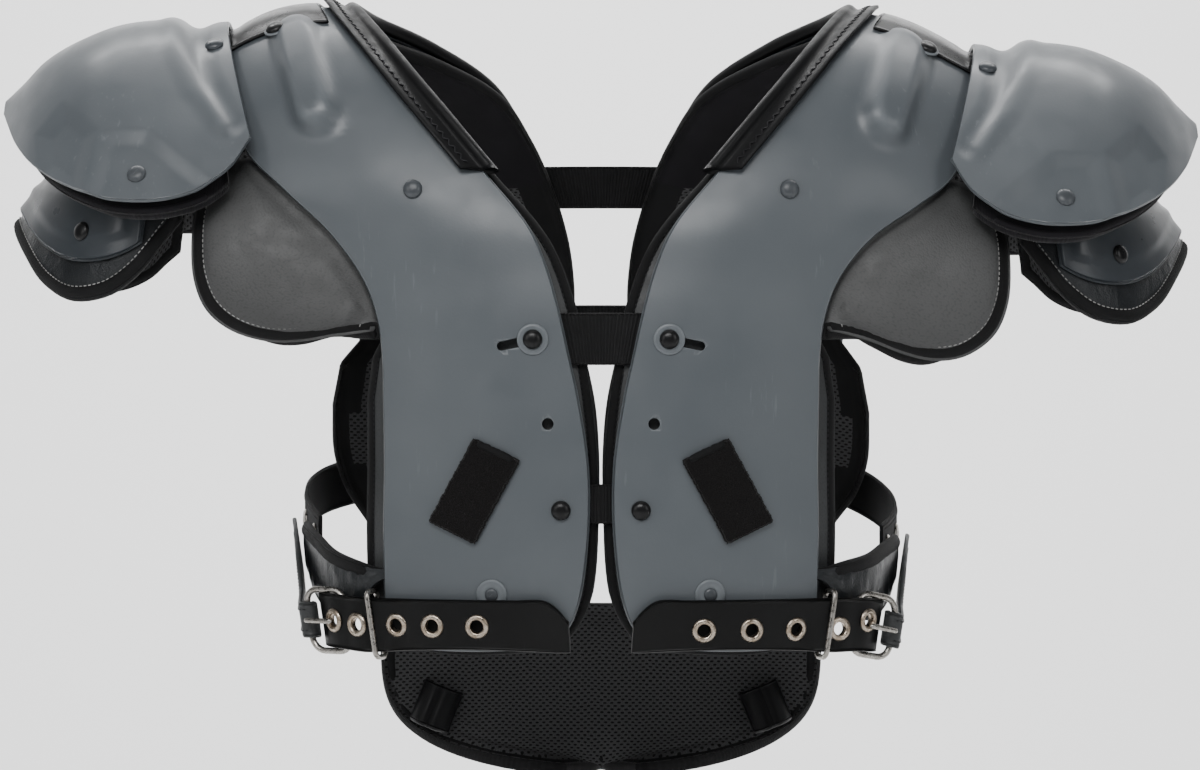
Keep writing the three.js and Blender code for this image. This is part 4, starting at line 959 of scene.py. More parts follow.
BOSS_TOP = (160, -18)
BOSS_END = (147, -59)
BOSS_RADIUS = 14.5
BOSS_HEIGHT = 8


def segment_distance(x, z, start, end):
    start, end = np.array(start, float), np.array(end, float)
    way = end - start
    t = np.clip(((x - start[0]) * way[0] + (z - start[1]) * way[1]) / way.dot(way), 0, 1)
    return np.hypot(x - start[0] - t * way[0], z - start[1] - t * way[1])


def plate(hand, side):
    along = spaced(220, 0.001)[:, None] * 2 - 1
    across = spaced(40, 0.006)[None, :]
    grid = arch_point(along, across)
    near = segment_distance(grid[..., 0], grid[..., 2], BOSS_TOP, BOSS_END) / BOSS_RADIUS
    boss = BOSS_HEIGHT * smooth(-near, -1.08, -0.35) * (grid[..., 1] < 0)
    boss *= mix(0.6, 1, smooth(-grid[..., 2], 22, 60))
    piece, skin = body(f"plate_{hand}", grid, boss, boss - PLATE_THICKNESS, SLATE, side, -1,
                       [f"arch_plate_{hand}"], rim=3, bulge=0.8)
    seats = {}
    for key, shares in (("hole", HOLE), ("slot", SLOT), ("slot_end", SLOT_END)):
        seats[key] = seat_on_plate(shares, side)
    cut(piece, [
        cutter_along(seats["hole"][0], seats["hole"][0], 3.0, seats["hole"][1], 9),
        cutter_along(seats["slot"][0], seats["slot_end"][0], 2.4, seats["slot"][1], 9),
    ])
    return skin


def seat_on_plate(shares, side, off=0.0):
    along, across = plate_spot(shares)
    flip = np.array((side, 1, 1))
    return place(on_arch(along, across, off), side), arch_normal(along, across) * flip


def neck_roll(hand, side):
    along = np.linspace(-10 / PLATE_ROWS, 8 / PLATE_ROWS, 110)
    edge = arch_point(along, 0.0)
    across = unit(arch_point(along, 0.02) - edge)
    normal = arch_normal(along, 0.0)
    centre_up = ROLL_RADIUS - PLATE_THICKNESS
    centre_out = -(ROLL_RADIUS + CLEARANCE)
    profile = [(centre_out + ROLL_RADIUS * math.cos(a), centre_up + ROLL_RADIUS * math.sin(a))
               for a in np.radians(np.linspace(38, 322, 20))]
    thick = ROLL_FLANGE_THICKNESS
    profile += [(-CLEARANCE, CLEARANCE), (ROLL_FLANGE / 2, ROLL_RISE * 0.62), (ROLL_FLANGE - 0.5, ROLL_RISE),
                (ROLL_FLANGE + 0.2, ROLL_RISE + 0.4), (ROLL_FLANGE + 0.2, ROLL_RISE + thick - 0.4),
                (ROLL_FLANGE - 0.5, ROLL_RISE + thick), (ROLL_FLANGE - 2.4, ROLL_RISE * 0.9 + thick),
                (ROLL_FLANGE / 2, ROLL_RISE * 0.55 + thick), (1.6, CLEARANCE + thick * 0.9),
                (0.1, CLEARANCE + thick * 0.95)]
    rings = np.stack([place(edge + across * out + normal * up, side) for out, up in profile], axis=1)
    swept(f"neck_roll_piped_{hand}", rings, BLACK_VINYL, replaces=[f"neck_roll_{hand}"])
    flip = np.array((side, 1, 1))
    for share, name in ((0.55, "zigzag"),):
        up = ROLL_RISE * share + thick + 0.35
        path = place(edge + across * ROLL_FLANGE * share + normal * up, side)
        stitches(f"neck_roll_{name}_{hand}", path[2:-2], (normal * flip)[2:-2], BLACK_THREAD,
                 2.6, 3.6, 0.4, zigzag=0.8)


def shoulder_strap(hand, side):
    half_along = 0.0
    while arch_point(-half_along, 0.5)[1] > -STRAP_HALF_WIDTH:
        half_along += 0.005
    row = 2 / PLATE_ROWS
    alongs = np.array([-half_along, -row, 0, row, half_along])
    top = STRAP_THICKNESS + CLEARANCE
    rows = [on_arch(alongs, across, np.full(5, top)) for across in (0.22, 2 / 6, 3 / 6, 4 / 6, 5 / 6, 0.93)]
    outs = np.array([section[0] for section in CAP_SECTIONS])
    cap = cap_points(np.linspace(0, 1, 40), np.linspace(-0.5, 0.5, 41)[None, :])
    normals = normals_of(cap)
    under = cap + normals * (-CAP_THICKNESS - STRAP_UNDER_CAP)
    reach = SHOULDER_HALF + CAP_GAP
    for out in (0.037, 0.121, 0.2):
        line = []
        for lane in np.array([-2, -1, 0, 1, 2]) / 6:
            j = int(round((lane + 0.5) * 40))
            i = int(np.argmin(np.abs(cap[:, 20, 0] - reach - CAP_REACH * out)))
            line.append(under[i, j])
        rows.append(np.array(line))
    grid = refine(np.array(rows), 60, 36)
    piece, skin = body(f"strap_{hand}", grid, 0, -STRAP_THICKNESS, BLACK_PLASTIC, side, 1,
                       [f"shoulder_strap_{hand}"])
    return skin


CAP_PANEL = ((257, -69), (233, -69), (197, -97), (214, -122), (268, -122))
CAP_FACET = ((281, -52), (259, -69), (268, -108), (292, -92), (296, -70))
CAP_CREASE = ((217, -4), (211, -22), (202, -44), (190, -66))
CAP_RIDGE = ((229, -4), (223, -24), (212, -46), (195, -66))


def polygon_distance(x, z, corners):
    """Distance inside a polygon from its nearest side, in millimetres, negative outside"""
    corners = np.array(corners, float)
    nearest = np.full(x.shape, 1e9)
    inside = np.zeros(x.shape, bool)
    for (ax, az), (bx, bz) in zip(corners, np.roll(corners, -1, axis=0)):
        nearest = np.minimum(nearest, segment_distance(x, z, (ax, az), (bx, bz)))
        crosses = (az > z) != (bz > z)
        inside ^= crosses & (x < (bx - ax) * (z - az) / (bz - az + 1e-12) + ax)
    return np.where(inside, nearest, -nearest)


def path_distance(x, z, points):
    return np.min([segment_distance(x, z, a, b) for a, b in zip(points, points[1:])], axis=0)


def cap_relief(grid):
    """Moulded panels, creases and the ridge beside the flange, as heights off the plain cap"""
    x, z = grid[..., 0], grid[..., 2]
    relief = -2.2 * np.clip(polygon_distance(x, z, CAP_PANEL) / 7.5, 0, 1)
    relief += -2.0 * np.clip(polygon_distance(x, z, CAP_FACET) / 9, 0, 1)
    relief += -1.6 * smooth(-path_distance(x, z, CAP_CREASE), -8, 0)
    relief += 1.4 * smooth(-path_distance(x, z, CAP_RIDGE), -9, 0)
    return relief


def cap(hand, side):
    rows = spaced(110, 0.002) * 0.992
    rounds = (spaced(190, 0.0015) * 2 - 1)[None, :]
    grid = cap_points(rows, rounds)
    relief = cap_relief(grid)
    piece, skin = body(f"cap_{hand}", grid, relief, relief - CAP_THICKNESS, SLATE, side, 1,
                       [f"cap_shell_{hand}"], rim=3, bulge=0.8)
    return skin


def deltoid(hand, side):
    grid = deltoid_grid(90, 36, 0.69)[8:-8]
    distance = edge_distance(grid)
    relief = 1.2 * smooth(distance, 6, 13)
    piece, skin = body(f"deltoid_cap_{hand}", grid, relief, relief - DELTOID_THICKNESS, SLATE_DARK,
                       side, -1, [f"deltoid_shell_{hand}"], rim=3, bulge=0.8)
    return skin


# Soft parts

PADS = []


def soft(piece, limit):
    """A padded piece, which the cloth run lets swell by up to a limit in millimetres"""
    PADS.append((piece, limit))


def binding(name, skin_mid, half_wide, half_high, parts="all", out=0.5, replaces=(), step=3.0,
            thread=None, look=None, pitch=2.8):
    """Sewn tape round a rim, with a row of stitches near its inner edge"""
    closed = parts == "all"
    points, normals, ways = skin_mid.rim(half_wide - out, parts)
    tube(name, points, half_wide, half_high, look or BINDING, normals, closed, 14, replaces, step)
    if thread is None:
        return
    outward = skin_mid.rim(half_wide * 2 - out - 1.5, parts)
    share = (half_wide - 1.5) / half_wide
    rise = half_high * math.sqrt(1 - share * share) + 0.5
    stitches(f"{name}_stitches", outward[0] + outward[1] * rise, outward[1], thread, pitch,
             pitch * 0.64, 0.3, closed=closed)


def arch_pad(hand, side):
    along = np.linspace(-1, 1, 181)[:, None]
    share = np.linspace(0, 1, 25)[None, :]
    width = np.linalg.norm(arch_point(along, 0.0) - arch_point(along, 1.0), axis=-1)
    margins = [np.interp((along + 1) / 2 * (len(MARGINS) - 1), np.arange(len(MARGINS)), MARGINS[:, k])
               for k in (0, 1)]
    start, end = -margins[0] / width, 1 + (margins[1] - PAD_SEAM) / width
    across = start + (end - start) * share
    grid = on_arch(np.broadcast_to(along, across.shape), across, np.full(across.shape, -PAD_OFFSET))
    grid[..., 2] -= PAD_BELOW * smooth(np.abs(along), 0.93, 1)
    crown = cushion(edge_distance(grid), 4, 12)
    up = -1.6 * (1 - crown)
    down = -PAD_EDGE - 1.2 - (PAD_THICKNESS - PAD_EDGE - 1.2) * crown
    pins = np.zeros(grid.shape[:2], bool)
    lined = np.where((along > -0.12) & (along < 0.32), 3, np.where(edge_distance(grid) < 13, 2, 1))
    piece, skin = body(f"liner_{hand}", grid, up, down, [GREY_VINYL, MESH, BINDING, CUSHION], side,
                       -1, [f"arch_pad_{hand}"], bulge=0.3, pins=pins, lower_look=lined)
    soft(piece, 1.6)
    middle = Skin(place(grid - normals_of(grid) * -1 * ((1.6 + PAD_EDGE + 1.2) / 2), side),
                  -normals_of(grid) * np.array((side, 1, 1)))
    binding(f"liner_binding_{hand}", middle, 3.4, 3.6, thread=BLACK_THREAD)


def cap_pad(hand, side):
    rows = np.linspace(0.115, 0.985, 34)
    grid = cap_points(rows, np.linspace(-1, 1, 60)[None, :], CAP_PAD_BELOW)
    top = CAP_THICKNESS + STRAP_UNDER_CAP + STRAP_THICKNESS + CLEARANCE
    distance = edge_distance(grid)
    crown = cushion(distance, 2, 10)
    up = -top - 1.0 * (1 - crown)
    down = -top - CAP_PAD_THICKNESS + 1.0 * (1 - crown)
    piece, skin = body(f"cap_cushion_{hand}", grid, up, down, [CUSHION, MESH, CUSHION], side, 1,
                       [f"cap_pad_{hand}"], bulge=0.3, pins=np.zeros(grid.shape[:2], bool))
    soft(piece, 1.5)
    normals = normals_of(grid)
    middle = Skin(place(grid - normals * (top + CAP_PAD_THICKNESS / 2), side), normals * np.array((side, 1, 1)))
    binding(f"cap_cushion_binding_{hand}", middle, 3.0, 3.6, look=CUSHION,
            parts=lambda r, c: r > 0.001)


def deltoid_pad(hand, side):
    grid = deltoid_grid(60, 16)
    top = DELTOID_THICKNESS + CLEARANCE
    distance = edge_distance(grid)
    crown = cushion(distance, 3, 14)
    folds = 0.7 * ripples(distance, np.linspace(0, 260, grid.shape[0])[:, None], 26, 1.3) * crown
    up = -top - 1.8 * (1 - crown) + folds * (distance < 24)
    down = -top - DELTOID_PAD_THICKNESS + 1.2 * (1 - crown)
    piece, skin = body(f"deltoid_cushion_{hand}", grid, up, down, [DARK_VINYL, MESH, BINDING], side,
                       -1, [f"deltoid_pad_{hand}"], bulge=0.3, pins=np.zeros(grid.shape[:2], bool))
    soft(piece, 1.0)
    normals = -normals_of(grid)
    middle = Skin(place(grid - normals * (top + DELTOID_PAD_THICKNESS / 2), side), normals * np.array((side, 1, 1)))
    binding(f"deltoid_binding_{hand}", middle, 4.2, 4.3, thread=WHITE_THREAD,
            parts=lambda r, c: c > 0.999 or (r in (0.0, 1.0) and c > 0.2))


def flap(hand, side, way):
    first = 4 if way < 0 else 5
    last = 8
    foot = arch_point(way * last * 2 / PLATE_ROWS, 1.0)[0]
    rim = Curve([(mix(foot, FLAP_REACH, out), way * FRONT_REACH * y, -FRONT_DROP * z) for out, y, z in FLAP_RIM])
    u = np.linspace(0.002, 0.998, 44)
    v = np.linspace(0.002, 0.998, 26)[None, :, None]
    along = way * mix(first, last, u) * 2 / PLATE_ROWS
    outward = unit(arch_point(along, 1.0) - arch_point(along, 0.98))
    seam = on_arch(along, 1.0, np.full(along.shape, -PLATE_THICKNESS - CLEARANCE)) + outward * 2 * CLEARANCE
    grid = mix(seam[:, None], rim(u)[:, None], v)
    reach = np.linalg.norm(rim(u) - seam, axis=-1)[:, None]
    grid[..., 1] += way * FLAP_CROWN * smooth(reach, 12, 75) * (27 / 4) * (v * v * (1 - v))[..., 0]
    sign = 1 if (normals_of(grid)[20, 12, 1] * way) > 0 else -1
    distance = edge_distance(grid)
    from_seam = np.linalg.norm(grid - grid[:, :1], axis=-1)
    crown = cushion(distance, 8.5, 9)
    depth = FLAP_THICKNESS - FLAP_EDGE
    up = -2.2 * (1 - crown) - 1.6 * (1 - cushion(from_seam, 0, 12))
    corner = np.linalg.norm(grid - grid[-1, -1], axis=-1)
    up += 0.8 * np.sin(corner * 0.55) * np.exp(-((corner - 14) / 7) ** 2) * crown
    down = -FLAP_EDGE - 1.2 - (depth - 1.2) * crown
    piece, skin = body(f"{'front' if way < 0 else 'back'}_flap_pad_{hand}", grid, up, down,
                       [FLAP_CLOTH, MESH, BINDING], side, sign,
                       [f"{'front' if way < 0 else 'back'}_flap_{hand}"], bulge=0.3,
                       pins=np.zeros(grid.shape[:2], bool))
    soft(piece, 1.5)
    normals = sign * normals_of(grid)
    middle = Skin(place(grid - normals * (2.2 + FLAP_EDGE + 1.2) / 2, side), normals * np.array((side, 1, 1)))
    binding(f"{'front' if way < 0 else 'back'}_flap_binding_{hand}", middle, 5.2, 4.2,
            parts=lambda r, c: c > 0.999 or (r > 0.999 and c > 0.4), thread=WHITE_THREAD)


def hook_patch(hand, side):
    corners = [np.array(c) for c in PATCH_CORNERS]
    coarse = []
    for down in np.linspace(0, 1, 5):
        left, right = mix(corners[0], corners[3], down), mix(corners[1], corners[2], down)
        row = []
        for across in np.linspace(0, 1, 4):
            along, over = plate_spot(mix(left, right, across))
            row.append(on_arch(along, over, 0.0))
        coarse.append(row)
    grid = refine(np.array(coarse), 70, 44)
    fuzz = np.random.default_rng(7).normal(0, 0.09, grid.shape[:2])
    grid = grid + np.random.default_rng(8).normal(0, 0.05, grid.shape)
    sign = -1 if normals_of(grid)[30, 20, 1] > 0 else 1
    piece, skin = body(f"hook_tape_{hand}", grid, CLEARANCE + PATCH_THICKNESS + fuzz, CLEARANCE, HOOKS,
                       side, sign, [f"hook_patch_{hand}"], bulge=0.8)
    top = skin.grid[1] + skin.normals[1] * -0.7
    tube(f"hook_fold_{hand}", top, 1.9, 1.9, BINDING, skin.normals[1], step=1.5)


def belt_row(x, up_share, low_share):
    top = spot_at(x, -BELT_HEIGHT + up_share * BELT_WIDTH / 2)
    low = spot_at(x, -min(BELT_HEIGHT + low_share * BELT_WIDTH / 2, FRONT_DROP - 1))
    return [on_arch(*top, BELT_OFF), on_arch(*low, BELT_OFF)]


def belt(hand, side):
    end = CHEST_HALF - 2 * WIRE_RADIUS - 3
    rows = [belt_row(BELT_TIP, 0.25, 0.75), belt_row(BELT_TIP + 6, 0.75, 1), belt_row(BELT_TIP + BELT_TAPER, 1, 1)]
    rows += [belt_row(mix(BELT_TIP + BELT_TAPER, end, k / 5), 1, 1) for k in range(1, 6)]
    for spot in BELT_FREE_RUN:
        centre = front_share(spot)
        lean = np.array((BELT_LEAN / 2, 0, BELT_WIDTH / 2))
        rows.append([centre + lean, centre - lean])
    grid = refine(np.array(rows), 150, 16)
    sign = -1 if normals_of(grid)[40, 8, 1] > 0 else 1
    swell = 0.12 * ripples(np.linspace(0, 160, 151)[:, None], np.linspace(0, 27, 17)[None, :], 34, 0.4)
    piece, skin = body(f"belt_run_{hand}", grid, BELT_THICKNESS / 2 + swell, swell - BELT_THICKNESS / 2, BELT_LOOK,
                       side, sign, [f"belt_{hand}"], rim=3, bulge=0.45)
    seats = []
    for x in EYELETS[hand]:
        drop = -EYELET_DROP - (2 if hand == "left" else 0)
        seats.append(skin.seat(side * x, drop))
    seats.append(skin.seat(side * 137.5, -FRONT_DROP * 0.961))
    cut(piece, [cutter_along(seat, seat, 3.9, normal, 9) for seat, normal in seats])
    ring = [(3.35, 0.2), (3.7, 0.85), (4.5, 1.1), (5.5, 0.85), (6.3, 0.1), (6.1, -0.3), (4.2, -0.35), (4.1, -3.3),
            (3.6, -3.4), (3.35, -2.0), (3.35, 0.2)]
    for k, (seat, normal) in enumerate(seats):
        lathe(f"eyelet_{k}_{hand}", ring, seat, normal, EYELET)


def rounded_loop(centre, wide, high, width, height):
    corner = min(width, height) * 0.3
    path = []
    for quarter, (sx, sy) in enumerate(((1, 1), (-1, 1), (-1, -1), (1, -1))):
        for turn in np.linspace(0, 1, 8):
            angle = (quarter + turn) * math.pi / 2
            path.append(centre + wide * (sx * (width / 2 - corner) + corner * math.cos(angle))
                        + high * (sy * (height / 2 - corner) + corner * math.sin(angle)))
    return np.array(path)


LEANED_UP = unit(np.array((BELT_LEAN / BELT_WIDTH, 0, 1.0)))
BUCKLE_WAY = np.array((-math.cos(BUCKLE_TURN), -math.sin(BUCKLE_TURN), 0))
BUCKLE_OUT = np.array((math.sin(BUCKLE_TURN), -math.cos(BUCKLE_TURN), 0))


def hardware(hand, side):
    through = unit(np.array((0.45, -1, 0)))
    ring = rounded_loop(front_share(RING_PLACE), through, LEANED_UP, RING_DEPTH, RING_HEIGHT)
    tube(f"ring_wire_{hand}", place(ring, side), WIRE_RADIUS, WIRE_RADIUS, NICKEL,
         np.cross(through, LEANED_UP) * (side, 1, 1), True, 12, [f"keeper_ring_{hand}"], 1.2)
    bar = front_share(BUCKLE_BAR)
    frame_path = rounded_loop(bar + BUCKLE_WAY * BUCKLE_LENGTH / 2, BUCKLE_WAY, LEANED_UP, BUCKLE_LENGTH, BUCKLE_HEIGHT)
    tube(f"buckle_wire_{hand}", place(frame_path, side), BUCKLE_WIRE, BUCKLE_WIRE, NICKEL,
         np.cross(BUCKLE_WAY, LEANED_UP) * (side, 1, 1), True, 14, [f"buckle_frame_{hand}"], 1.2)
    lift = BUCKLE_WIRE + BUCKLE_STRAP_THICKNESS + 4 * CLEARANCE + WIRE_RADIUS
    shares = ((0.02, 0), (0.3, 0.9), (0.6, 1.2), (0.86, 0.9))
    prong = Curve([bar + BUCKLE_WAY * share * BUCKLE_LENGTH + BUCKLE_OUT * (lift + up) for share, up in shares])
    tube(f"prong_wire_{hand}", place(prong(np.linspace(0, 1, 24)), side), WIRE_RADIUS, WIRE_RADIUS, NICKEL,
         np.array((0, 0, 1.0)), False, 12, [f"buckle_prong_{hand}"])


def buckle_strap(hand, side):
    bar = front_share(BUCKLE_BAR)
    radius = BUCKLE_WIRE + 3 * CLEARANCE + BUCKLE_STRAP_THICKNESS / 2
    centres = [front_share(spot) for spot in BUCKLE_STRAP_RUN]
    free = len(centres)
    for angle in np.radians(BUCKLE_WRAP_TURNS):
        centres.append(bar + BUCKLE_OUT * radius * math.cos(angle) + BUCKLE_WAY * radius * math.sin(angle))
    tail = math.radians(BUCKLE_WRAP_TURNS[-1] + 90)
    centres.append(centres[-1] + (BUCKLE_OUT * math.cos(tail) + BUCKLE_WAY * math.sin(tail)) * BUCKLE_WRAP_TAIL)
    halves = [BUCKLE_STRAP_HALF if k < free - 1 else BUCKLE_WRAP_HALF for k in range(len(centres))]
    rows = [[c + LEANED_UP * half, c - LEANED_UP * half] for c, half in zip(centres, halves)]
    grid = refine(np.array(rows), 110, 12)
    piece, skin = body(f"buckle_tab_{hand}", grid, BUCKLE_STRAP_THICKNESS / 2, -BUCKLE_STRAP_THICKNESS / 2,
                       GREY_VINYL, side, 1, [f"buckle_strap_{hand}"])
    for col in (2, -3):
        path = skin.grid[6:64, col] + skin.normals[6:64, col] * 0.2
        stitches(f"buckle_tab_stitches_{col % 13}_{hand}", path, skin.normals[6:64, col], BLACK_THREAD,
                 3.0, 2.1, 0.32)


def side_wing(hand, side):
    rows = []
    for height in (0.882, 0.889, 0.896):
        rows.append([])
        rows[0].append(on_arch(*spot_at(0.955 * CHEST_HALF, -height * FRONT_DROP), -4.35))
    rows = rows[:1]
    for (x, y, top), low in zip(WING_TOP, WING_LOW):
        rows.append([front_share((x, y, top)), front_share((x - 0.01, y, (top + low) / 2)),
                     front_share((x - 0.02, y, low))])
    grid = refine(np.array(rows), 64, 14)
    sign = 1 if normals_of(grid)[20, 7, 0] > 0 else -1
    distance = edge_distance(grid)
    crown = cushion(distance, 3, 8)
    u = np.linspace(0, 150, grid.shape[0])[:, None]
    v = np.linspace(0, 30, grid.shape[1])[None, :]
    folds = 0.7 * ripples(u * 1.5, v * 0.5, 18, 2.1) * crown
    tucked = smooth(np.linspace(0, 7, grid.shape[0])[:, None], 0.7, 1.6)
    half = mix(1.2, WING_THICKNESS / 2, tucked)
    up = half - (1.2 * (1 - crown) - folds) * tucked
    piece, skin = body(f"wing_{hand}", grid, up, -half + 1.0 * (1 - crown) * tucked, [DARK_VINYL, MESH, BINDING],
                       side, sign, [f"side_wing_{hand}"], bulge=0.4,
                       pins=np.zeros(grid.shape[:2], bool))
    soft(piece, 1.0)
    middle = Skin(place(grid, side), sign * normals_of(grid) * np.array((side, 1, 1)))
    binding(f"wing_binding_{hand}", middle, 3.8, 3.4,
            parts=lambda r, c: c < 0.001 and r > 0.13)


def strap_grid(run, width, half_lean=0.0):
    rows = []
    for centre in run:
        rise = np.array((half_lean, 0, width / 2))
        rows.append([centre + rise, centre - rise])
    return np.array(rows)


def back_belt(hand, side):
    run = [np.array((CHEST_HALF * x, BACK_REACH * y, -BACK_DROP * z)) for x, y, z in BACK_BELT_RUN]
    grid = refine(strap_grid(run, BACK_BELT_WIDTH), 90, 10)
    half = BACK_BELT_THICKNESS / 2
    sign = 1 if normals_of(grid)[60, 5, 0] > 0 else -1
    piece, skin = body(f"back_strap_{hand}", grid, half, -half, STRAP_WEB, side, sign,
                       [f"back_belt_{hand}"])
    snap = [(0.01, 1.9), (2.2, 1.75), (3.0, 1.2), (3.4, 1.5), (5.2, 1.3), (6.0, 0.6), (6.1, 0.0), (0.01, 0.0)]
    for k, row in enumerate((68, 84)):
        seat, normal = skin.grid[row, 5], skin.normals[row, 5]
        lathe(f"snap_{k}_{hand}", snap, seat, normal, NICKEL)
    for k, col in enumerate((1, 9)):
        path = skin.grid[2:88, col] + skin.normals[2:88, col] * 0.15
        stitches(f"back_strap_stitches_{k}_{hand}", path, skin.normals[2:88, col], BLACK_THREAD,
                 2.8, 2.0, 0.3)


def webbing(name, way, top, low):
    drop = FRONT_DROP if way < 0 else BACK_DROP
    off = -PLATE_THICKNESS - WEBBING_SEAT - WEBBING_THICKNESS / 2

    def edge_spot(share, inset):
        along = 0.2 * way
        while abs(along) < 1 and -arch_point(along, 0.0)[2] < share * drop:
            along += 0.002 * way
        return on_arch(along, inset, off)

    half = [[edge_spot(top, inset), edge_spot(low, inset)] for inset in (-0.005, 0.09)]
    flip = np.array((-1, 1, 1))
    rows = np.array([[p * flip for p in half[1]], [p * flip for p in half[0]], half[0], half[1]])
    grid = refine(rows, 80, 24)
    half_thick = WEBBING_THICKNESS / 2
    body(f"{name}_band", grid, half_thick, -half_thick, WEBBING, 1,
         1 if normals_of(grid)[40, 12, 1] * way > 0 else -1, [name])


def panel_point(across, down):
    foot_y = BACK_REACH * BACK_SECTIONS[-1][2]
    narrow = (1 - (0.99 * down) ** 5) ** 0.6
    depth = foot_y - PANEL_HOLLOW * across ** 2 - PANEL_BEND * down ** 2
    x, y, z = np.broadcast_arrays(PANEL_HALF * narrow * across, depth, -mix(PANEL_TOP, PANEL_BOTTOM, down))
    return np.stack([x, y, z], axis=-1)


def panel_face(x, z):
    down = (-z - PANEL_TOP) / (PANEL_BOTTOM - PANEL_TOP)
    full = panel_point(1.0, down)[0]
    return panel_point(x / full, down)[1] - PANEL_THICKNESS


def back_panel():
    s = np.linspace(0, 1, 34)
    down = (1 - (1 - s) ** 1.8)[:, None]
    across = np.linspace(-1, 1, 60)[None, :]
    grid = panel_point(across, down)
    grid[..., 1] -= PANEL_THICKNESS / 2
    normals = np.zeros_like(grid)
    normals[..., 1] = -1
    distance = edge_distance(grid)
    from_top = np.abs(grid[..., 2] + PANEL_TOP)
    crown = cushion(np.minimum(distance, np.where(from_top < 12, 12, distance)), 6, 12)
    half = PANEL_THICKNESS / 2
    up = half - 2.4 * (1 - crown)
    sign = -1 if normals_of(grid)[10, 30, 1] > 0 else 1
    piece, skin = body("back_panel_pad", grid, up, -up, [MESH, BINDING, BINDING], 1, sign,
                       ["back_panel"], bulge=0.3, pins=np.zeros(grid.shape[:2], bool))
    soft(piece, 2.0)
    binding("back_panel_binding", Skin(grid, sign * normals_of(grid)), 5.0, 4.8,
            parts=lambda r, c: r > 0.999 or (c in (0.0, 1.0) and r > 0.02), thread=WHITE_THREAD)
    return skin


def panel_loop(hand, side):
    x, z = PANEL_HALF * LOOP_PLACE[0], -mix(PANEL_TOP, PANEL_BOTTOM, LOOP_PLACE[1])
    rows = []
    for angle in np.linspace(0, math.pi, 25):
        across = LOOP_WIDTH / 2 * math.cos(angle)
        groove = 2.0 * math.exp(-((angle - 0.48 * math.pi) / 0.2) ** 2)
        out = LOOP_SEAT + LOOP_THICKNESS / 2 + LOOP_DEPTH * math.sin(angle) ** 0.8 - groove
        row = []
        for way in (1, 0, -1):
            at_x = x + across - way * LOOP_SKEW
            at_z = z + way * LOOP_HEIGHT / 2 + across * LOOP_SKEW / (LOOP_HEIGHT / 2)
            row.append((at_x, panel_face(at_x, at_z) - out + 0.9 * way * way, at_z))
        rows.append(row)
    grid = refine(np.array(rows), 90, 24)
    sign = -1 if normals_of(grid)[45, 12, 1] > 0 else 1
    half = LOOP_THICKNESS / 2
    body(f"rolled_loop_{hand}", grid, half, -half, BLACK_VINYL, side, sign, [f"panel_loop_{hand}"])


DOME = ((0.01, 0), (1, 0), (1.0, 0.12), (0.97, 0.34), (0.86, 0.62), (0.66, 0.84), (0.4, 0.96), (0.15, 1.0), (0.01, 1.0))


def rivet(name, seat, normal, look, radius=RIVET_HEAD, height=RIVET_HEIGHT, washer=0.0, replaces=()):
    base = 0.0
    if washer:
        base = 1.0
        ring = [(radius * 0.5, 0.0), (washer, 0.0), (washer, 0.5), (washer - 0.4, 0.9), (washer - 1.4, 1.0),
                (radius * 0.5, 1.0), (radius * 0.5, 0.0)]
        lathe(f"{name}_washer", ring, seat, normal, SLATE)
    profile = [(radius * r, base + height * h) for r, h in DOME]
    lathe(name, profile, seat, normal, look, replaces=replaces)


def nearest(skin, i_share, j_share):
    i = int(round(i_share * (skin.grid.shape[0] - 1)))
    j = int(round(j_share * (skin.grid.shape[1] - 1)))
    return skin.grid[i, j], skin.normals[i, j]


def rivets(hand, side, skins):
    lift = 0.05
    seat, normal = seat_on_plate(UPPER_RIVET, side, lift)
    rivet(f"rivet_upper_{hand}", seat, normal, RIVET_SLATE, replaces=[f"plate_rivet_upper_{hand}"])
    seat, normal = seat_on_plate(SLOT, side, lift)
    rivet(f"rivet_slot_{hand}", seat, normal, BLACK_PLASTIC, washer=WASHER_RADIUS, replaces=[f"slot_rivet_{hand}"])
    seat, normal = seat_on_plate(LOWER_RIVET, side, lift)
    rivet(f"rivet_lower_{hand}", seat, normal, BLACK_PLASTIC, replaces=[f"plate_rivet_lower_{hand}"])
    seat, normal = seat_on_plate(FOOT_RIVET, side, lift)
    rivet(f"rivet_foot_{hand}", seat, normal, RIVET_SLATE, 3.4, 1.3, washer=FOOT_WASHER)
    sag = LEFT_SAG if side > 0 else 0
    spots = {
        "cap": (skins["cap"], 238, -93, -1, RIVET_SLATE, [f"cap_rivet_{hand}"]),
        "flange": (skins["cap"], 203.5, -22, -1, SLATE_DARK, []),
        "flange_back": (skins["cap"], 208, -13, 1, SLATE_DARK, []),
        "strap": (skins["strap"], 169, -20, -1, BLACK_PLASTIC, [f"strap_rivet_{hand}"]),
        "strap_back": (skins["strap"], 172, -17, 1, BLACK_PLASTIC, []),
        "deltoid": (skins["deltoid"], 270, -121, -1, BLACK_PLASTIC, [f"deltoid_rivet_{hand}"]),
    }
    for key, (skin, x, z, way, look, nodes) in spots.items():
        seat, normal = skin.seat(side * x, z - sag, way)
        rivet(f"rivet_{key}_{hand}", seat, normal, look, replaces=nodes, height=2.6, washer=6.2 if "strap" in key else 0)


def dress_hidden(hand):
    """Straps that stay as the model has them, with their own cloth"""
    for node in (f"ring_strap_{hand}", f"deltoid_strap_{hand}"):
        shown = bpy.data.objects[node]
        shown.data.materials.clear()
        shown.data.materials.append(STRAP_WEB)


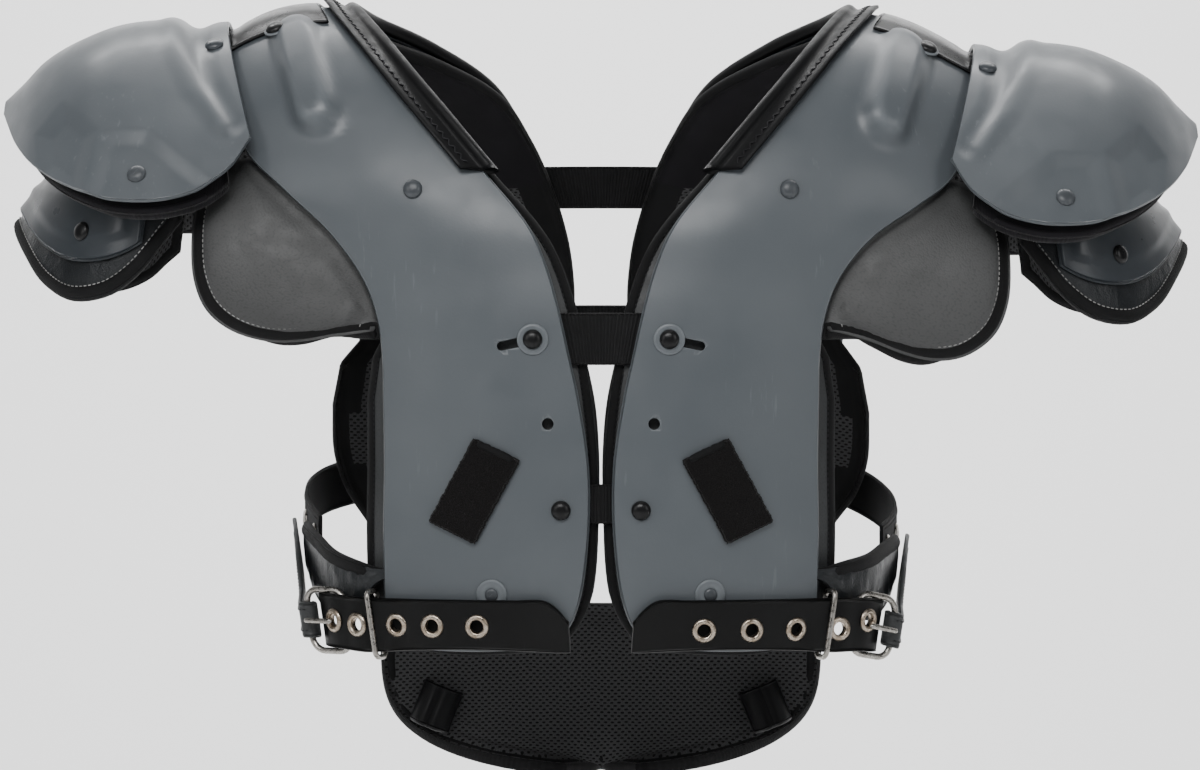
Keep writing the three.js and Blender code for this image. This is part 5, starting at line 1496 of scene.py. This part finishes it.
def run_cloth():
    """Lets the padded pieces swell together, each by no more than its own limit"""
    start = {}
    for piece, _ in PADS:
        points = np.zeros(len(piece.data.vertices) * 3)
        piece.data.vertices.foreach_get("co", points)
        start[piece.name] = points.reshape(-1, 3)
        cloth = piece.modifiers.new("cloth", "CLOTH")
        cloth.settings.quality = 4
        cloth.settings.mass = 0.2
        cloth.settings.tension_stiffness = 12
        cloth.settings.compression_stiffness = 12
        cloth.settings.bending_stiffness = 0.4
        cloth.settings.use_pressure = True
        cloth.settings.uniform_pressure_force = 4
        cloth.settings.effector_weights.gravity = 0
        cloth.settings.vertex_group_mass = "pin"
        cloth.collision_settings.use_collision = False
        cloth.point_cache.frame_start = 1
        cloth.point_cache.frame_end = 20
    for step in range(1, 21):
        bpy.context.scene.frame_set(step)
    for piece, limit in PADS:
        shown = piece.evaluated_get(bpy.context.evaluated_depsgraph_get()).data
        points = np.zeros(len(shown.vertices) * 3)
        shown.vertices.foreach_get("co", points)
        moved = points.reshape(-1, 3) - start[piece.name]
        far = np.linalg.norm(moved, axis=1, keepdims=True)
        held = start[piece.name] + moved * np.minimum(1, limit * MM / np.maximum(far, 1e-9))
        piece.modifiers.clear()
        piece.data.vertices.foreach_set("co", held.ravel())
        piece.data.update()
    bpy.context.scene.frame_set(1)


# Camera, floor and lights

CAMERA_HEIGHT = -0.201
CAMERA_BACK = 2.4
PHOTO_WIDTH = 1200
FOCAL_PIXELS = 4478
FLOOR_HEIGHT = -0.62


def camera():
    data = bpy.data.cameras.new("camera")
    data.sensor_width = 36
    data.lens = 36 * FOCAL_PIXELS / PHOTO_WIDTH
    data.clip_end = 50
    holder = bpy.data.objects.new("camera", data)
    holder.location = (-0.0005, -CAMERA_BACK, CAMERA_HEIGHT)
    holder.rotation_euler = (math.pi / 2, 0, 0)
    bpy.context.scene.collection.objects.link(holder)
    bpy.context.scene.camera = holder


def floor():
    """A pale floor that sweeps up into a wall behind"""
    rows = []
    for y, z in ((-6, 0), (0.9, 0), *[(0.9 + 1.2 * math.sin(a), 1.2 - 1.2 * math.cos(a))
                                      for a in np.linspace(0.1, math.pi / 2, 16)], (2.1, 5)):
        rows.append([(-6, y, FLOOR_HEIGHT + z), (6, y, FLOOR_HEIGHT + z)])
    verts = [v for row in rows for v in row]
    faces = [[2 * k, 2 * k + 1, 2 * k + 3, 2 * k + 2] for k in range(len(rows) - 1)]
    mesh = bpy.data.meshes.new("floor")
    mesh.from_pydata(verts, [], faces)
    mesh.shade_smooth()
    stage = bpy.data.objects.new("floor", mesh)
    look = Look("floor_paint", (0.83, 0.83, 0.83), 0.7)
    mesh.materials.append(look.finish())
    bpy.context.scene.collection.objects.link(stage)


def softbox(name, place_at, look_at, size, power, colour=(1, 1, 1)):
    data = bpy.data.lights.new(name, "AREA")
    data.shape = "RECTANGLE"
    data.size, data.size_y = size
    data.energy = power
    data.color = colour
    lamp = bpy.data.objects.new(name, data)
    lamp.location = place_at
    lamp.rotation_euler = (Vector(look_at) - Vector(place_at)).to_track_quat("-Z", "Y").to_euler()
    bpy.context.scene.collection.objects.link(lamp)


def lights():
    softbox("key", (-0.3, -1.9, 1.15), (0, 0, -0.15), (1.4, 0.8), 34)
    softbox("fill_right", (1.7, -1.5, 0.5), (0.1, 0, -0.2), (0.8, 1.2), 8)
    softbox("fill_left", (-1.7, -1.5, 0.5), (-0.1, 0, -0.2), (0.8, 1.2), 8)
    softbox("top", (0, 0.1, 1.6), (0, 0, -0.1), (1.6, 0.8), 4)
    softbox("rim_right", (-1.5, 1.0, 0.5), (-0.1, 0, -0.2), (0.5, 1.2), 2)
    softbox("rim_left", (1.5, 1.0, 0.5), (0.1, 0, -0.2), (0.5, 1.2), 2)
    softbox("wall", (0, 0.75, 1.5), (0, 2.1, -0.1), (2.6, 0.5), 95)
    world = bpy.data.worlds.new("studio")
    world.use_nodes = True
    sky = world.node_tree.nodes["Background"]
    sky.inputs["Color"].default_value = (0.95, 0.97, 1.0, 1)
    sky.inputs["Strength"].default_value = 0.16
    bpy.context.scene.world = world


camera()
floor()
lights()
for hand, side in SIDES.items():
    plate(hand, side)
    neck_roll(hand, side)
    skins = {"strap": shoulder_strap(hand, side), "cap": cap(hand, side), "deltoid": deltoid(hand, side)}
    arch_pad(hand, side)
    cap_pad(hand, side)
    deltoid_pad(hand, side)
    flap(hand, side, -1)
    flap(hand, side, 1)
    hook_patch(hand, side)
    belt(hand, side)
    hardware(hand, side)
    buckle_strap(hand, side)
    side_wing(hand, side)
    back_belt(hand, side)
    panel_loop(hand, side)
    rivets(hand, side, skins)
    dress_hidden(hand)
for name, (way, top, low) in WEBBINGS.items():
    webbing(name, way, top, low)
back_panel()
run_cloth()
